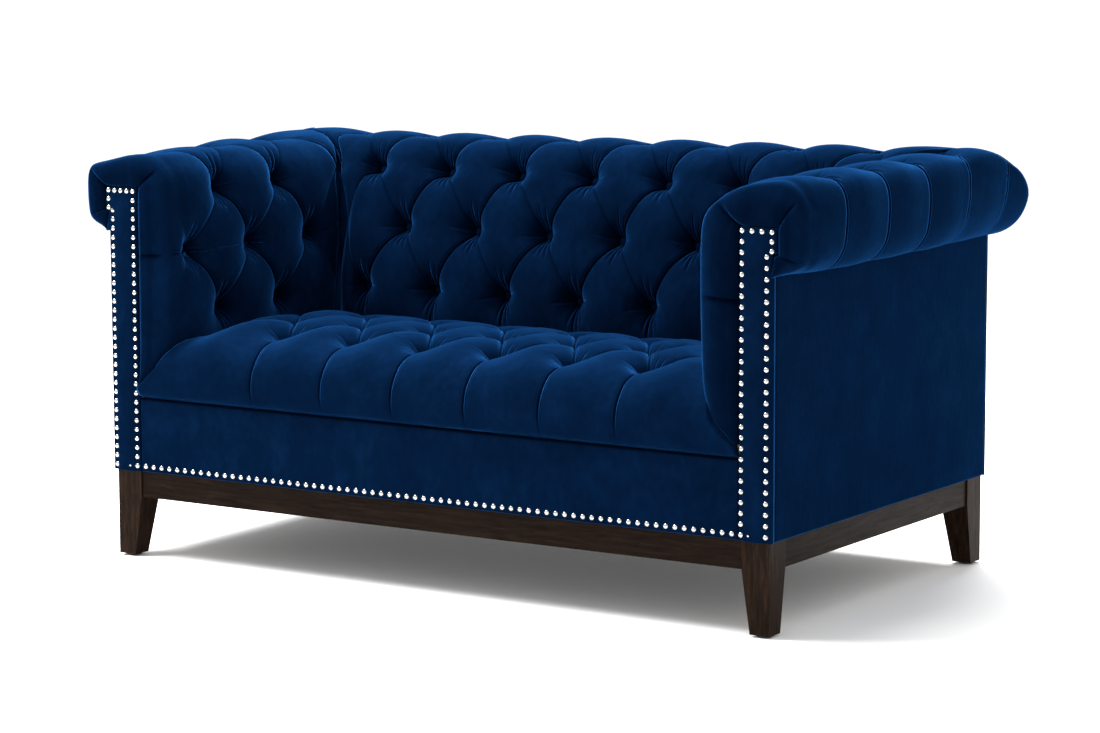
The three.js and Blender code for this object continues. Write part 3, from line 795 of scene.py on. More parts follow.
def make_seat():
    along_line = lattice_line(-SEAT_INSIDE, SEAT_INSIDE, SEAT_PITCH / 2, SEAT_PITCH / 2)
    row_line = lattice_line(SEAT_ROW_LOW, SEAT_ROW_HIGH, 1.0, 0.0)
    along, rows = np.meshgrid(along_line, row_line, indexing="ij")
    base, half = seat_surface(along, rows)
    normals = grid_normals(base)
    heights = tufting(
        along, rows, SEAT_PITCH, SEAT_PITCH / 2, SEAT_ROW_METRES, SEAT_LAST_ROW,
        seat_button, SEAT_DEPTHS, 1, EVEN_FOLDS,
    )
    reach = np.abs(along)
    pleated = 1 - smoothstep(*SEAT_PLEATS_END, reach) * (rows > -0.1)
    pleated = np.where((rows <= 0) & (reach > SEAT_NOSE_PLEATS_END), 0, pleated)
    rounding = np.clip((np.abs(base[..., 0]) - (half - SEAT_END_ROUND)) / SEAT_END_ROUND, 0, 1)
    drop = SEAT_END_DROP * rounding**2 * smoothstep(-1.0, 0.2, rows)
    height = heights["puff"] + heights["pit"] + heights["crease"] * pleated + heights["wrinkle"] - drop
    near_seam = smoothstep(SEAT_ROW_LOW, -1.15, rows)
    grid = base + normals * (height * near_seam)[..., None]

    hidden = np.zeros((len(along_line), len(SEAT_UNDERSIDE), 3))
    hidden[..., 0] = along_line[:, None]
    hidden[..., 1:] = SEAT_UNDERSIDE
    hidden[:, -1, 0] = grid[:, 0, 0]
    at_seam = rows < SEAT_ROW_LOW + 0.1  # the seam itself is shaded as a crease
    lattice = np.where(at_seam, 0.0, heights["a"]), np.where(at_seam, 0.5, heights["b"])
    mask = np.where(at_seam, 1.0, pleated * near_seam)
    closed_loft("seat_cushion", grid, hidden, ["seat_pad"], lattice, mask, heights["tuck"], EVEN_FOLDS)
    buttons_on("seat_buttons", grid, normals, heights, seat_button, SEAT_PITCH, SEAT_PITCH / 2)


def make_seam_shade():
    """A thin dark tube down in the seam under the seat's nose, standing in for the shade there: painted
    shade, as a tube with closed ends.
    """
    ring = []
    for k in range(SEAM_SHADE_SIDES):
        turn = 2 * math.pi * k / SEAM_SHADE_SIDES
        y = SEAM_SHADE_DEPTH + SEAM_SHADE_RADIUS * math.cos(turn)
        ring.append((y, SEAM + SEAM_SHADE_RISE + SEAM_SHADE_RADIUS * math.sin(turn)))
    points = [(x, y, z) for x in np.linspace(-SEAM_SHADE_REACH, SEAM_SHADE_REACH, SEAM_SHADE_STEPS) for y, z in ring]
    faces = []
    for near in range(0, len(points) - SEAM_SHADE_SIDES, SEAM_SHADE_SIDES):
        far = near + SEAM_SHADE_SIDES
        for i in range(SEAM_SHADE_SIDES):
            n = (i + 1) % SEAM_SHADE_SIDES
            faces.append((near + i, near + n, far + n, far + i))
    faces.append(tuple(range(SEAM_SHADE_SIDES)))
    faces.append(tuple(reversed(range(len(points) - SEAM_SHADE_SIDES, len(points)))))
    finish_piece("seat_seam_shade", points, faces, SEAM_SHADE_VELVET)


# ================= Arms and back =================
LAST_ROW = 3  # the row of buttons on top of the roll
ROW_LOW = -1.15
ROW_HIGH = 5.0
ROW_METRES = 0.118

ARM_SECTION = Section(
    [
        (0.604, 0.336), (0.592, 0.400), (0.587, 0.474), (0.585, 0.592), (0.587, 0.690),
        (0.590, 0.710), (0.597, 0.733), (0.608, 0.752), (0.623, 0.767), (0.642, 0.777),
        (0.669, 0.785), (0.700, 0.788), (0.728, 0.790), (0.752, 0.788), (0.773, 0.779),
        (0.788, 0.760), (0.794, 0.733), (0.794, 0.702), (0.789, 0.668), (0.776, 0.648),
        (0.762, 0.637), (0.745, 0.632), (BODY_HALF + GAP, 0.6315),
    ],
    [(0, ROW_LOW), (2, 0), (3, 1), (5, 2), (12, 3), (22, ROW_HIGH)],
)
BACK_SECTION = Section(
    [
        (0.548, 0.336), (0.512, 0.400), (0.498, 0.488), (0.521, 0.615), (0.544, 0.705),
        (0.557, 0.733), (0.566, 0.751), (0.578, 0.767), (0.595, 0.781), (0.622, 0.791),
        (0.650, 0.792), (0.690, 0.785), (0.740, 0.774), (0.790, 0.762), (0.835, 0.750),
        (0.867, 0.733), (0.886, 0.713), (0.890, 0.688), (0.884, 0.664), (0.873, 0.648),
        (0.860, 0.637), (0.845, 0.632), (BODY_DEPTH + GAP, 0.6315),
    ],
    [(0, ROW_LOW), (2, 0), (3, 1), (5, 2), (10, 3), (22, ROW_HIGH)],
)
ARM_HIDDEN = [(0.7306, 0.7166), (0.690, 0.7168), (0.645, 0.7168), (0.645, 0.560), (0.645, 0.360)]
BACK_HIDDEN = [(0.8306, 0.7166), (0.760, 0.7168), (0.692, 0.7168), (0.692, 0.560), (0.692, 0.450)]
DEPTHS = {
    "rows": [ROW_LOW, -0.6, 0, 2, 2.6, 3, 3.6, 4.6, ROW_HIGH],
    "pit": [0.020, 0.032, 0.038, 0.038, 0.024, 0.007, 0.008, 0.008, 0.008],
    "puff": [0.002, 0.006, 0.008, 0.008, 0.006, 0.0050, 0.0045, 0.003, 0.0],
    "pleat": [0.002, 0.004, 0.0045, 0.0045, 0.004, 0.0035, 0.0030, 0.003, 0.0015],
}
ARM_DEPTHS = dict(
    DEPTHS,
    pit=[0.020, 0.032, 0.036, 0.036, 0.024, 0.014, 0.012, 0.008, 0.008],
    puff=[0.002, 0.006, 0.009, 0.007, 0.0035, 0.0035, 0.0035, 0.003, 0.0],
)
INNER_CORNER = 0.546  # how deep the corner between arm and back lies at the bottom
CORNER_SEAM_DEPTH = 0.006
OUTER_CORNER = 0.020  # plan radius of the roll's outer corner
ROLL_TILT = 0.015  # how much the top of the roll rises per metre towards the right, as in the photo
# how far the roll swells up at these rows where arm meets back
SWELL_ROWS = [2.0, 3.0, 3.6, 4.3, 5.0]
CORNER_SWELL = [0.0, 0.002, 0.014, 0.012, 0.0]


def corner_radius(rows):
    return OUTER_CORNER * smoothstep(2.1, 3.5, rows) * (1 - 0.25 * smoothstep(4.3, 5.0, rows))


def corner_depth(back_depth):
    """How deep the corner of arm and back lies. Low down, where the back leans forward, it is upright."""
    return np.maximum(back_depth, INNER_CORNER)


def corner_shade(tuck, nearness):
    """The buttons' painted shade, with painted shade for the corner's seam in its place next to the corner.
    """
    none = np.zeros_like(nearness)
    return np.where((nearness > 0.22)[..., None], np.stack([none, none, nearness], -1), tuck)


def corner_seam(rows, to_corner_line):
    """How near each point is to the seam in the inner corner, from 0 to 1."""
    return np.exp(-to_corner_line / 0.010) * (1 - smoothstep(2.2, 3.2, rows))


def roll_rise(rows, across):
    """The lift of the roll's top by its tilt, for x across the sofa."""
    return ROLL_TILT * across * smoothstep(2.0, 3.0, rows) * (1 - smoothstep(4.0, 4.8, rows))


def roll_height(own, other, rows, near_corner):
    """The height of the arm or the back, which meets the other one's halfway and swells at their corner."""
    swell = np.interp(rows, SWELL_ROWS, CORNER_SWELL)
    return own + (0.5 * (own + other) + swell - own) * near_corner


def bow(rows):
    return rows + ARCH * np.sin(np.pi * rows) ** 2 * ((rows > 0) & (rows < LAST_ROW))


def to_corner(distance, side_line, end_line, radius):
    """A point that runs along one side of a mitred corner: (offset across, place along). side_line is how
    far out the side lies, end_line where the other side lies, and the last eighth of a turn is an arc."""
    straight = end_line - radius
    safe = np.maximum(radius, 1e-6)
    turn = np.clip((distance - straight) / safe, 0, math.pi / 4)
    on_arc = (distance > straight) & (radius > 1e-4)
    across = np.where(on_arc, side_line - radius * (1 - np.cos(turn)), side_line)
    place = np.where(on_arc, straight + radius * np.sin(turn), np.minimum(distance, end_line))
    return across, place


def corner_reach(end_line, radius):
    return end_line - radius + radius * math.pi / 4


def stretched(grid_place, start, end, reach):
    """Grid places run on unchanged up to start, and from there to end they cover what is left up to reach."""
    beyond = np.clip(grid_place - start, 0, None) / (end - start)
    return np.minimum(grid_place, start) + beyond * (reach - start)


ARMS = {  # metres along the arm from its front plane
    "left": {
        "pitch": 0.190, "origin": 0.180, "first_pleat": 0.082,
        "lattice_end": 0.560, "keep": 0.487, "slope_end": 0.46,
    },
    "right": {
        "pitch": 0.157, "origin": 0.0695, "first_pleat": 0.067,
        "lattice_end": 0.5405, "keep": 0.480, "slope_end": 0.15,
    },
}
ARM_PLEATS_END = (0.45, 0.50)  # distance from the front over which the pleats below the roll run out
ARM_FIRST_BUTTON = 0.05  # no button lies nearer to the front than this
ROLL_LAST_BUTTON = 0.64  # nor further back than this on the roll
TOP_ROW = 2.5  # above it lies the row of buttons on top of the roll
EDGE_ROUND = 0.026
EDGE_FACE = -0.0050  # how far the border stands in front of the facing's plane
STRIP_STEPS = 34
STRIP_ROUND = 0.46  # share of the border that is its rounded outer edge
STRIP_DIVE = 0.74  # where the border starts to dive to the nails
STRIP_DROP = 0.018
STRIP_CROWN = 0.0012
STRIP_SHADE = 0.58
MITRE_DEPTHS = (0.0065, 0.0060, 0.0020)
LEVEL_FOLD = 0.0030  # depth of the folds that run level from the foremost and the last low buttons
LEVEL_FOLD_FRONT = 0.0016
FRONT_MARKS = [(0, ROW_LOW), (6, 1.05), (7, 1.93), (15, 3), (25, ROW_HIGH)]
LOW_FRONT = [(0.660, 0.338), (0.645, 0.346), (0.613, 0.376), (0.598, 0.412), (0.592, 0.450), (0.589, 0.514)]
RIGHT_EDGE_OUT = 0.009  # how much further in the right arm's border reaches
FRONT_OUTLINES = {
    "left": Section(
        LOW_FRONT
        + [
            (0.587, 0.600), (0.588, 0.700), (0.592, 0.728), (0.600, 0.746), (0.613, 0.760),
            (0.629, 0.773), (0.648, 0.779), (0.671, 0.780), (0.700, 0.777), (0.722, 0.772),
            (0.752, 0.765), (0.773, 0.760), (0.783, 0.753), (0.788, 0.738), (0.789, 0.705),
            (0.787, 0.675), (0.783, 0.657), (0.768, 0.645), (0.745, 0.637), (BODY_HALF + GAP, 0.6335),
        ],
        FRONT_MARKS,
    ),
    "right": Section(
        [(x - RIGHT_EDGE_OUT * smoothstep(0.660, 0.600, x), z) for x, z in LOW_FRONT]
        + [
            (0.587 - RIGHT_EDGE_OUT, 0.600), (0.588 - RIGHT_EDGE_OUT, 0.700),
            (0.593 - RIGHT_EDGE_OUT, 0.726), (0.603 - RIGHT_EDGE_OUT, 0.744),
            (0.613, 0.760), (0.632, 0.774), (0.655, 0.784), (0.680, 0.791), (0.705, 0.795),
            (0.725, 0.797), (0.742, 0.796), (0.758, 0.789), (0.775, 0.772), (0.786, 0.750),
            (0.789, 0.728), (0.789, 0.700), (0.783, 0.659), (0.768, 0.645), (0.745, 0.637),
            (BODY_HALF + GAP, 0.6335),
        ],
        FRONT_MARKS,
    ),
}
MITRES = {  # where the border's corner folds end on the arm's outline: inner top, outer top, under the roll
    "left": [(0.613, 0.760), (0.783, 0.753), (0.783, 0.657)],
    "right": [(0.613, 0.760), (0.775, 0.772), (0.783, 0.659)],
}


def arm_front_outline(rows, side):
    """The arm's outline on its front face, in (x, z)."""
    outline = FRONT_OUTLINES[side].at(rows)
    return outline[..., 0], outline[..., 1]


def mitre_rows(rows, side):
    """The rows of the grid nearest to the border's corner folds."""
    x, z = arm_front_outline(rows, side)
    return [rows[np.argmin(np.hypot(x - px, z - pz))] for px, pz in MITRES[side]]


def facing_edge(rows, z, folds):
    """The point on the facing's edge that each point of the arm's outline leads to."""
    inner, outer, lower = folds
    clear = 0.0008
    left, right, top = FACING_INNER - clear, FACING_HEAD + clear, FACING_TOP + clear
    neck = BODY_HALF + clear
    under = NAIL_NECK
    knots = [inner, outer, lower, (lower + ROW_HIGH) / 2, ROW_HIGH]
    x = np.interp(rows, knots, [left, right, right, neck, neck])
    height = np.interp(rows, knots, [top, top, under, under - 0.004, 0.6330])
    side_height = np.interp(z, [0.338, 0.600, 0.700, 0.760], [0.338, 0.596, 0.672, top])
    return x, np.where(rows < inner, np.minimum(side_height, top), height)


def strip_profile(w):
    """Depth of the border across its width, from the arm's side at 0 to the nails at 1."""
    turn = np.arccos(np.clip(1 - w / STRIP_ROUND, 0, 1))
    rounded = EDGE_FACE + EDGE_ROUND * (1 - np.sin(turn))
    between = np.clip((w - STRIP_ROUND) / (STRIP_DIVE - STRIP_ROUND), 0, 1)
    middle = EDGE_FACE - STRIP_CROWN * np.sin(np.pi * between)
    q = np.clip((w - STRIP_DIVE) / (1 - STRIP_DIVE), 0, 1)
    dive = EDGE_FACE + STRIP_DROP * (1 - np.sqrt(1 - 0.998 * q**2))
    return np.where(w < STRIP_ROUND, rounded, np.where(w < STRIP_DIVE, middle, dive))


def arm_surface(side, along, rows):
    """The arm's plain surface up to the inner corner: (points, distance along it, whole distance)."""
    facts = ARMS[side]
    keep = facts["keep"]
    bowed = bow(rows)
    arm, back = ARM_SECTION.at(bowed), BACK_SECTION.at(bowed)
    radius = corner_radius(rows)
    end_line = corner_depth(back[..., 0])
    reach = corner_reach(end_line, radius)
    distance = stretched(along, keep, facts["lattice_end"], reach)
    across, depth = to_corner(distance, arm[..., 0], end_line, radius)
    near_corner = smoothstep(keep, 1.0, (distance - keep) / (reach - keep) * (1 - keep) + keep)
    height = roll_height(arm[..., 1], back[..., 1], rows, near_corner)
    height = height + roll_rise(rows, SIDES[side] * across)
    front_x, front_z = arm_front_outline(bowed, side)
    forward = 1 - smoothstep(EDGE_ROUND, facts["slope_end"], distance)
    forward_low = 1 - smoothstep(EDGE_ROUND, 0.07, distance)
    blend = np.where(rows < 1, forward_low, forward)
    across = across + (front_x - arm[..., 0]) * blend
    height = height + (front_z - arm[..., 1] - roll_rise(rows, SIDES[side] * across)) * blend
    return np.stack([across, depth, height], -1), distance, reach


def arm_border(side, bowed_rows):
    """The border from the nails out to the arm's side: (points, share of its width, rows of its folds)."""
    share = np.linspace(1, 0, STRIP_STEPS + 1)[:-1, None]
    rows = bowed_rows[None, :]
    folds = mitre_rows(bowed_rows, side)
    outline_x, outline_z = arm_front_outline(rows, side)
    inner_x, inner_z = facing_edge(rows, outline_z, folds)
    x = outline_x + (inner_x - outline_x) * share
    z = outline_z + (inner_z - outline_z) * share
    mitre = LEVEL_FOLD_FRONT * np.exp(-np.abs(rows - 1) * ROW_METRES / 0.003)
    for fold, depth in zip(folds, MITRE_DEPTHS):
        gap = np.abs(rows - fold) * ROW_METRES
        mitre = mitre + depth * (np.exp(-gap / 0.0035) + 0.6 * np.exp(-((gap / 0.016) ** 2)))
    y = strip_profile(share) + mitre * smoothstep(0.0, 0.30, share)
    return np.stack([x, y, z], -1), share, folds


def arm_hidden(side, along_line, end):
    """The points inside the arm that close its sections, behind the border first and then along the arm."""
    sign = SIDES[side]
    hidden = np.zeros((STRIP_STEPS + len(along_line), len(ARM_HIDDEN), 3))
    for i, ((x, z), (y_end, _)) in enumerate(zip(ARM_HIDDEN, BACK_HIDDEN)):
        start = 0.0445 if x < 0.7 else 0.013
        hidden[:, i, 0] = x * sign
        depth = np.interp(along_line, [EDGE_ROUND, end], [start, y_end])
        hidden[STRIP_STEPS:, i, 1] = np.clip(depth, start, y_end)
        hidden[:STRIP_STEPS, i, 1] = np.linspace(0.0125, start, STRIP_STEPS)
        hidden[:, i, 2] = z
    hidden[:STRIP_STEPS, :, 0] = np.clip(np.abs(hidden[:STRIP_STEPS, :, 0]), 0.640, 0.7306) * sign
    return hidden


def make_arm(side):
    sign = SIDES[side]
    facts = ARMS[side]
    pitch, origin = facts["pitch"], facts["origin"]
    end, first_pleat = facts["lattice_end"], facts["first_pleat"]
    along_line = lattice_line(EDGE_ROUND, end, pitch / 2, origin)
    row_line = lattice_line(ROW_LOW, ROW_HIGH, 1.0, 0.0)
    along, rows = np.meshgrid(along_line, row_line, indexing="ij")
    base, distance, reach = arm_surface(side, along, rows)
    normals = -grid_normals(base)
    place = along + (distance - along) * smoothstep(2.0, 3.0, rows)

    def has_button(where, row):
        last = np.where(row > TOP_ROW, ROLL_LAST_BUTTON, end + 0.01)
        inside = (where > ARM_FIRST_BUTTON) & (where < last)
        corner = (row < TOP_ROW) & (np.abs(where - end) < 0.01)
        return 1.0 * inside * (row > -0.5) * (row < LAST_ROW + 0.5) * ~corner

    heights = tufting(
        place, rows, pitch, origin, ROW_METRES, LAST_ROW, has_button, ARM_DEPTHS, 3 + sign, ARM_FOLDS
    )
    pleated = smoothstep(first_pleat - 0.02, first_pleat + 0.004, place)
    pleated = pleated * (1 - smoothstep(*ARM_PLEATS_END, place) * (rows < 1.9) * (rows > -0.2))
    seam = corner_seam(rows, reach - distance)
    total = heights["puff"] * smoothstep(0.0, 0.05, distance) + heights["pit"] + heights["wrinkle"]
    total = total + heights["crease"] * pleated - CORNER_SEAM_DEPTH * seam
    plain_front = smoothstep(EDGE_ROUND, 0.060, distance)
    # one fold runs level from the foremost low button round the front edge, one from the last to the corner
    last_low = end - 0.5 * pitch
    levels = (place < first_pleat) + smoothstep(last_low, last_low + 0.02, place) * (rows < 2)
    level = LEVEL_FOLD * np.exp(-np.abs(rows - 1) * ROW_METRES / 0.004) * np.clip(levels, 0, 1)
    grid = base + normals * (total * plain_front - level)[..., None]

    bowed_rows = bow(rows)[0]
    border, share, folds = arm_border(side, bowed_rows)
    whole = np.concatenate([border, grid], axis=0)
    whole[..., 0] *= sign

    ahead = place < first_pleat - 0.022
    level_mask = np.exp(-(((rows - 1) / 0.08) ** 2))
    border_a = np.interp(bowed_rows, [ROW_LOW, 1.0, *folds, ROW_HIGH], [-0.5, 0, 1, 2, 3, 3.5])
    border_shape = (STRIP_STEPS, len(row_line))
    grid_a = np.where(ahead, np.round(heights["a"]) + (rows - 1), heights["a"])
    grid_b = np.where(ahead, 0.5, heights["b"])
    whole_a = np.concatenate([np.tile(border_a, (STRIP_STEPS, 1)), grid_a])
    whole_b = np.concatenate([np.full(border_shape, 0.5), grid_b])
    border_mask = np.where(bowed_rows < 1.5, level_mask[:1], 1.0) * smoothstep(0.05, 0.4, share)
    mask = np.concatenate([border_mask, np.where(ahead, level_mask, pleated * plain_front)])
    border_painted_shade = np.zeros((*border_shape, 3))
    # painted shade on the border, darker towards the nails
    border_painted_shade[..., 2] = STRIP_SHADE * smoothstep(0.10, 0.60, share)
    tuck = np.concatenate([border_painted_shade, corner_shade(heights["tuck"], seam)])
    closed_loft(
        f"arm_upholstery_{side}", whole, arm_hidden(side, along_line, end),
        [f"arm_pad_{side}", f"arm_roll_{side}"], (whole_a, whole_b), mask, tuck, ARM_FOLDS,
    )
    mirror = np.array([sign, 1, 1])
    buttons_on(f"arm_buttons_{side}", grid * mirror, normals * mirror, heights, has_button, pitch, origin)


BACK_PITCH = 0.1675
BACK_KEEP = 0.5225
BACK_LATTICE_END = 4 * BACK_PITCH
BACK_PLEATS_END = (0.515, 0.560)  # distance from the middle over which the pleats below the roll run out
BACK_LAST_BUTTONS = (0.56, 0.60)  # no button lies further from the middle, below and on the roll


def make_back():
    half_line = lattice_line(0.0, BACK_LATTICE_END, BACK_PITCH / 2, 0.0)
    along_line = np.concatenate([-half_line[:0:-1], half_line])
    row_line = lattice_line(ROW_LOW, ROW_HIGH, 1.0, 0.0)
    along, rows = np.meshgrid(along_line, row_line, indexing="ij")
    sign = np.where(along < 0, -1.0, 1.0)
    bowed = bow(rows)
    arm, back = ARM_SECTION.at(bowed), BACK_SECTION.at(bowed)
    radius = corner_radius(rows)
    reach = corner_reach(arm[..., 0], radius)
    distance = stretched(np.abs(along), BACK_KEEP, BACK_LATTICE_END, reach)
    near_corner = smoothstep(0, 1, (distance - BACK_KEEP) / (reach - BACK_KEEP))
    side_line = back[..., 0] + (corner_depth(back[..., 0]) - back[..., 0]) * near_corner
    depth, across = to_corner(distance, side_line, arm[..., 0], radius)
    height = roll_height(back[..., 1], arm[..., 1], rows, near_corner)
    height = height + roll_rise(rows, sign * across)
    base = np.stack([across * sign, depth, height], -1)
    normals = grid_normals(base)
    place = sign * (np.abs(along) + (distance - np.abs(along)) * smoothstep(2.0, 3.0, rows))

    def has_button(where, row):
        below, on_roll = BACK_LAST_BUTTONS
        inside = np.abs(where) < np.where(row > TOP_ROW, on_roll, below)
        return 1.0 * inside * (row > -0.5) * (row < LAST_ROW + 0.5)

    heights = tufting(place, rows, BACK_PITCH, 0.0, ROW_METRES, LAST_ROW, has_button, DEPTHS, 7, BACK_FOLDS)
    pleated = 1 - smoothstep(*BACK_PLEATS_END, np.abs(place)) * (rows < 1.9)
    seam = corner_seam(rows, reach - distance)
    total = heights["puff"] + heights["pit"] + heights["wrinkle"] + heights["crease"] * pleated
    grid = base + normals * (total - CORNER_SEAM_DEPTH * seam)[..., None]
    hidden = np.zeros((len(along_line), len(BACK_HIDDEN), 3))
    for i, ((y, z), (x_end, _)) in enumerate(zip(BACK_HIDDEN, ARM_HIDDEN)):
        hidden[:, i, 0] = np.interp(along_line, [-BACK_LATTICE_END, BACK_LATTICE_END], [-x_end, x_end])
        hidden[:, i, 1] = y
        hidden[:, i, 2] = z
    closed_loft(
        "back_upholstery", grid, hidden, ["back_pad", "back_roll"],
        (heights["a"], heights["b"]), pleated, corner_shade(heights["tuck"], seam), BACK_FOLDS,
    )
    buttons_on("back_buttons", grid, normals, heights, has_button, BACK_PITCH, 0.0)


# ================= Facings, covers and panels =================
PANEL_STEP = 0.012


def box_from_front(node):
    """(low, high) of a node's box, with depths from the front plane."""
    return [np.array(corner) - np.array([0, FRONT, 0]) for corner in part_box(node)]


def padded_panel(name, panel, lift, replaced):
    """A thin velvet panel with a flat back. The panel's place(u, v) gives its flat face for u and v from
    0 to 1, and lift(u, v) how far the padding stands out from it."""
    u, v = np.meshgrid(panel["u"], panel["v"], indexing="ij")
    flat = panel["place"](u, v)
    front = flat + panel["out"] * lift(u, v)[..., None]
    behind = flat - panel["out"] * panel["depth"]
    vertices = np.vstack([front.reshape(-1, 3), behind.reshape(-1, 3)])
    return finish_piece(name, vertices, shell_faces(*u.shape), PLAIN_VELVET, [replaced])


def edge_spacing(count, crowd_ends=0.8):
    t = np.linspace(0, 1, count)
    return t - crowd_ends * np.sin(2 * np.pi * t) / (2 * np.pi)


def rolled_edge(distance, radius):
    """How far a padded face has dropped at a distance from its edge."""
    q = np.clip(1 - distance / radius, 0, 1)
    return radius * (1 - np.sqrt(1 - 0.998 * q**2))


def make_facing(side):
    sign = SIDES[side]
    low, high = BODY_BOTTOM + 0.0002, FACING_TOP
    neck = BODY_HALF - 0.0002

    def edges(v):
        z = low + (high - low) * v
        outer = neck + (FACING_HEAD - neck) * smoothstep(NAIL_NECK - 0.001, NAIL_NECK + 0.003, z)
        return z, outer

    def place(u, v):
        z, outer = edges(v)
        x = FACING_INNER + (outer - FACING_INNER) * u
        return np.stack([sign * x, np.full_like(x, 0.0045), z], -1)

    def lift(u, v):
        z, outer = edges(v)
        width = outer - FACING_INNER
        from_edge = np.minimum(np.minimum(u, 1 - u) * width, high - z)
        from_edge = np.minimum(from_edge, z - low + 0.002)
        crown = 0.0035 * np.sin(np.pi * u) * smoothstep(0, 0.03, high - z)
        groove = 0.0022 * np.exp(-((((u * width) - (NAIL_INNER - FACING_INNER)) / 0.0045) ** 2))
        groove += 0.0022 * np.exp(-((((1 - u) * width - 0.0095) / 0.0045) ** 2))
        return 0.0050 - rolled_edge(from_edge, 0.0060) + crown - groove

    levels = np.linspace(0, 1, 170)
    levels = np.sort(np.concatenate([levels, np.linspace(0.915, 0.93, 8), np.linspace(0.985, 0.9999, 8)]))
    out = np.array([0, -1.0, 0])
    panel = {"u": edge_spacing(30), "v": levels, "place": place, "out": out, "depth": 0.0070}
    padded_panel(f"arm_front_{side}", panel, lift, f"arm_facing_{side}")


def make_flat_panel(name, node, out, edge_radius, crown, seed):
    """An outside panel over its CAD solid: a taut cover, a little crowned and uneven, with soft edges."""
    low, high = box_from_front(node)
    axis = int(np.argmax(np.abs(out)))
    wide = 1 - axis
    face = high[axis] if out[axis] > 0 else low[axis]
    width, tall = high[wide] - low[wide], high[2] - low[2]

    def place(u, v):
        point = np.zeros((*u.shape, 3))
        point[..., wide] = low[wide] + width * u
        point[..., 2] = low[2] + tall * v
        point[..., axis] = face
        return point

    def lift(u, v):
        from_edge = np.minimum(np.minimum(u, 1 - u) * width, np.minimum(v, 1 - v) * tall)
        swell = crown * (np.sin(np.pi * u) * np.sin(np.pi * v)) ** 0.5
        ripple = np.sin(9 * u * width + 2 * np.sin(7 * v * tall + seed)) * np.sin(8 * v * tall + seed)
        return swell + 0.0006 * ripple - rolled_edge(from_edge, edge_radius)

    panel = {
        "u": edge_spacing(max(40, int(width / PANEL_STEP))),
        "v": edge_spacing(max(30, int(tall / PANEL_STEP))),
        "place": place,
        "out": np.array(out, float),
        "depth": high[axis] - low[axis],
    }
    padded_panel(name, panel, lift, node)


def make_panels():
    for side, sign in SIDES.items():
        make_flat_panel(f"arm_cover_{side}", f"arm_outside_{side}", (sign, 0, 0), 0.004, 0.0022, sign)
    make_flat_panel("back_cover", "back_outside", (0, 1, 0), 0.004, 0.0025, 4)
    make_flat_panel("front_cover", "front_rail_cover", (0, -1, 0), 0.0045, 0.0015, 6)


# ================= Nails =================
NAIL = dome_mesh(NAIL_RADIUS, NAIL_HEIGHT, 6, 20, 0.0012)


def nail_run(start, end, count, face, skip=0):
    """Nails evenly from start to end in (x, z), without the first few to skip, each with its direction."""
    places = []
    for k in range(skip, count):
        t = k / (count - 1)
        x, z = (start[c] + (end[c] - start[c]) * t for c in (0, 1))
        places.append(((x, face, z), (0, -1, 0)))
    return places


def make_nails():
    for side, (inner, outer, top) in NAIL_COUNTS.items():
        sign = SIDES[side]
        places = nail_run((NAIL_INNER, NAIL_LOW), (NAIL_INNER, NAIL_HIGH), inner, NAIL_FACE)
        neck = NAIL_NECK - NECK_DROPS[side]
        places += nail_run((NAIL_OUTER, NAIL_LOW), (NAIL_OUTER, neck), outer, NAIL_FACE)
        places += nail_run((NAIL_INNER, NAIL_HIGH), (NAIL_HEAD, NAIL_HIGH), top, NAIL_FACE, 1)
        places += nail_run((NAIL_HEAD, NAIL_HIGH), (NAIL_HEAD, NAIL_HIGH - 2 * NAIL_DROP), 3, NAIL_FACE, 1)
        places += nail_run((NAIL_INNER, NAIL_LOW), (NAIL_OUTER, NAIL_LOW), 4, NAIL_FACE)[1:-1]
        places = [((x * sign, y, z), way) for (x, y, z), way in places]
        scatter(f"nails_{side}", NAIL, places, NICKEL, [f"nail_trim_{side}"])
    step = 2 * NAIL_INNER / (FRONT_NAILS - 1)
    cover_face = COVER_LOW.y - FRONT - 0.0012
    reach = NAIL_INNER - step
    places = nail_run((-reach, NAIL_LOW), (reach, NAIL_LOW), FRONT_NAILS - 2, cover_face)
    scatter("nails_front", NAIL, places, NICKEL, ["nail_trim_front"])


# ================= Hidden cloth =================
CLOTH_THICKNESS = 0.0008
CLOTH_STEP = 0.02


def make_stretched_cloth(name, node, material, sag, flat_axis):
    """A thin cloth held at its edges where its CAD solid lies. It sags a little along flat_axis."""
    low, high = box_from_front(node)
    ways = [axis for axis in range(3) if axis != flat_axis]
    counts = [max(12, int((high[way] - low[way]) / CLOTH_STEP)) for way in ways]
    u, v = np.meshgrid(*(np.linspace(0, 1, count) for count in counts), indexing="ij")
    upper = np.zeros((*u.shape, 3))
    for way, share in zip(ways, (u, v)):
        upper[..., way] = low[way] + (high[way] - low[way]) * share
    upper[..., flat_axis] = high[flat_axis] - sag * np.sin(np.pi * u) * np.sin(np.pi * v)
    lower = upper.copy()
    lower[..., flat_axis] -= CLOTH_THICKNESS
    points = np.vstack([upper.reshape(-1, 3), lower.reshape(-1, 3)])
    piece = finish_piece(name, points, shell_faces(*u.shape), material, [node])


def make_hidden_cloth():
    make_stretched_cloth("dust_cloth", "dust_cover", DUST_CLOTH, 0.0008, 2)
    make_stretched_cloth("spring_burlap", "spring_cover", JUTE, 0.0010, 2)
    for level in ("lower", "upper"):
        strap, webbing = f"back_strap_{level}", f"back_webbing_{level}"
        make_stretched_cloth(strap, webbing, JUTE, 0.0006, 1)


# ================= Finishes of the frame's own parts =================
def dress_frame():
    for name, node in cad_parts.items():
        if name.startswith("leg_bolt") or name.startswith("seat_spring"):
            material = STEEL
        elif name.startswith("leg_"):
            material = ESPRESSO_LEG
        elif name in ("base_rail_left", "base_rail_right"):
            material = ESPRESSO_SIDE
        elif name.startswith("base_rail"):
            material = ESPRESSO_RAIL
        elif name.startswith("glide"):
            material = NYLON
        else:
            material = FRAME_WOOD
        node.data.materials.clear()
        node.data.materials.append(material)


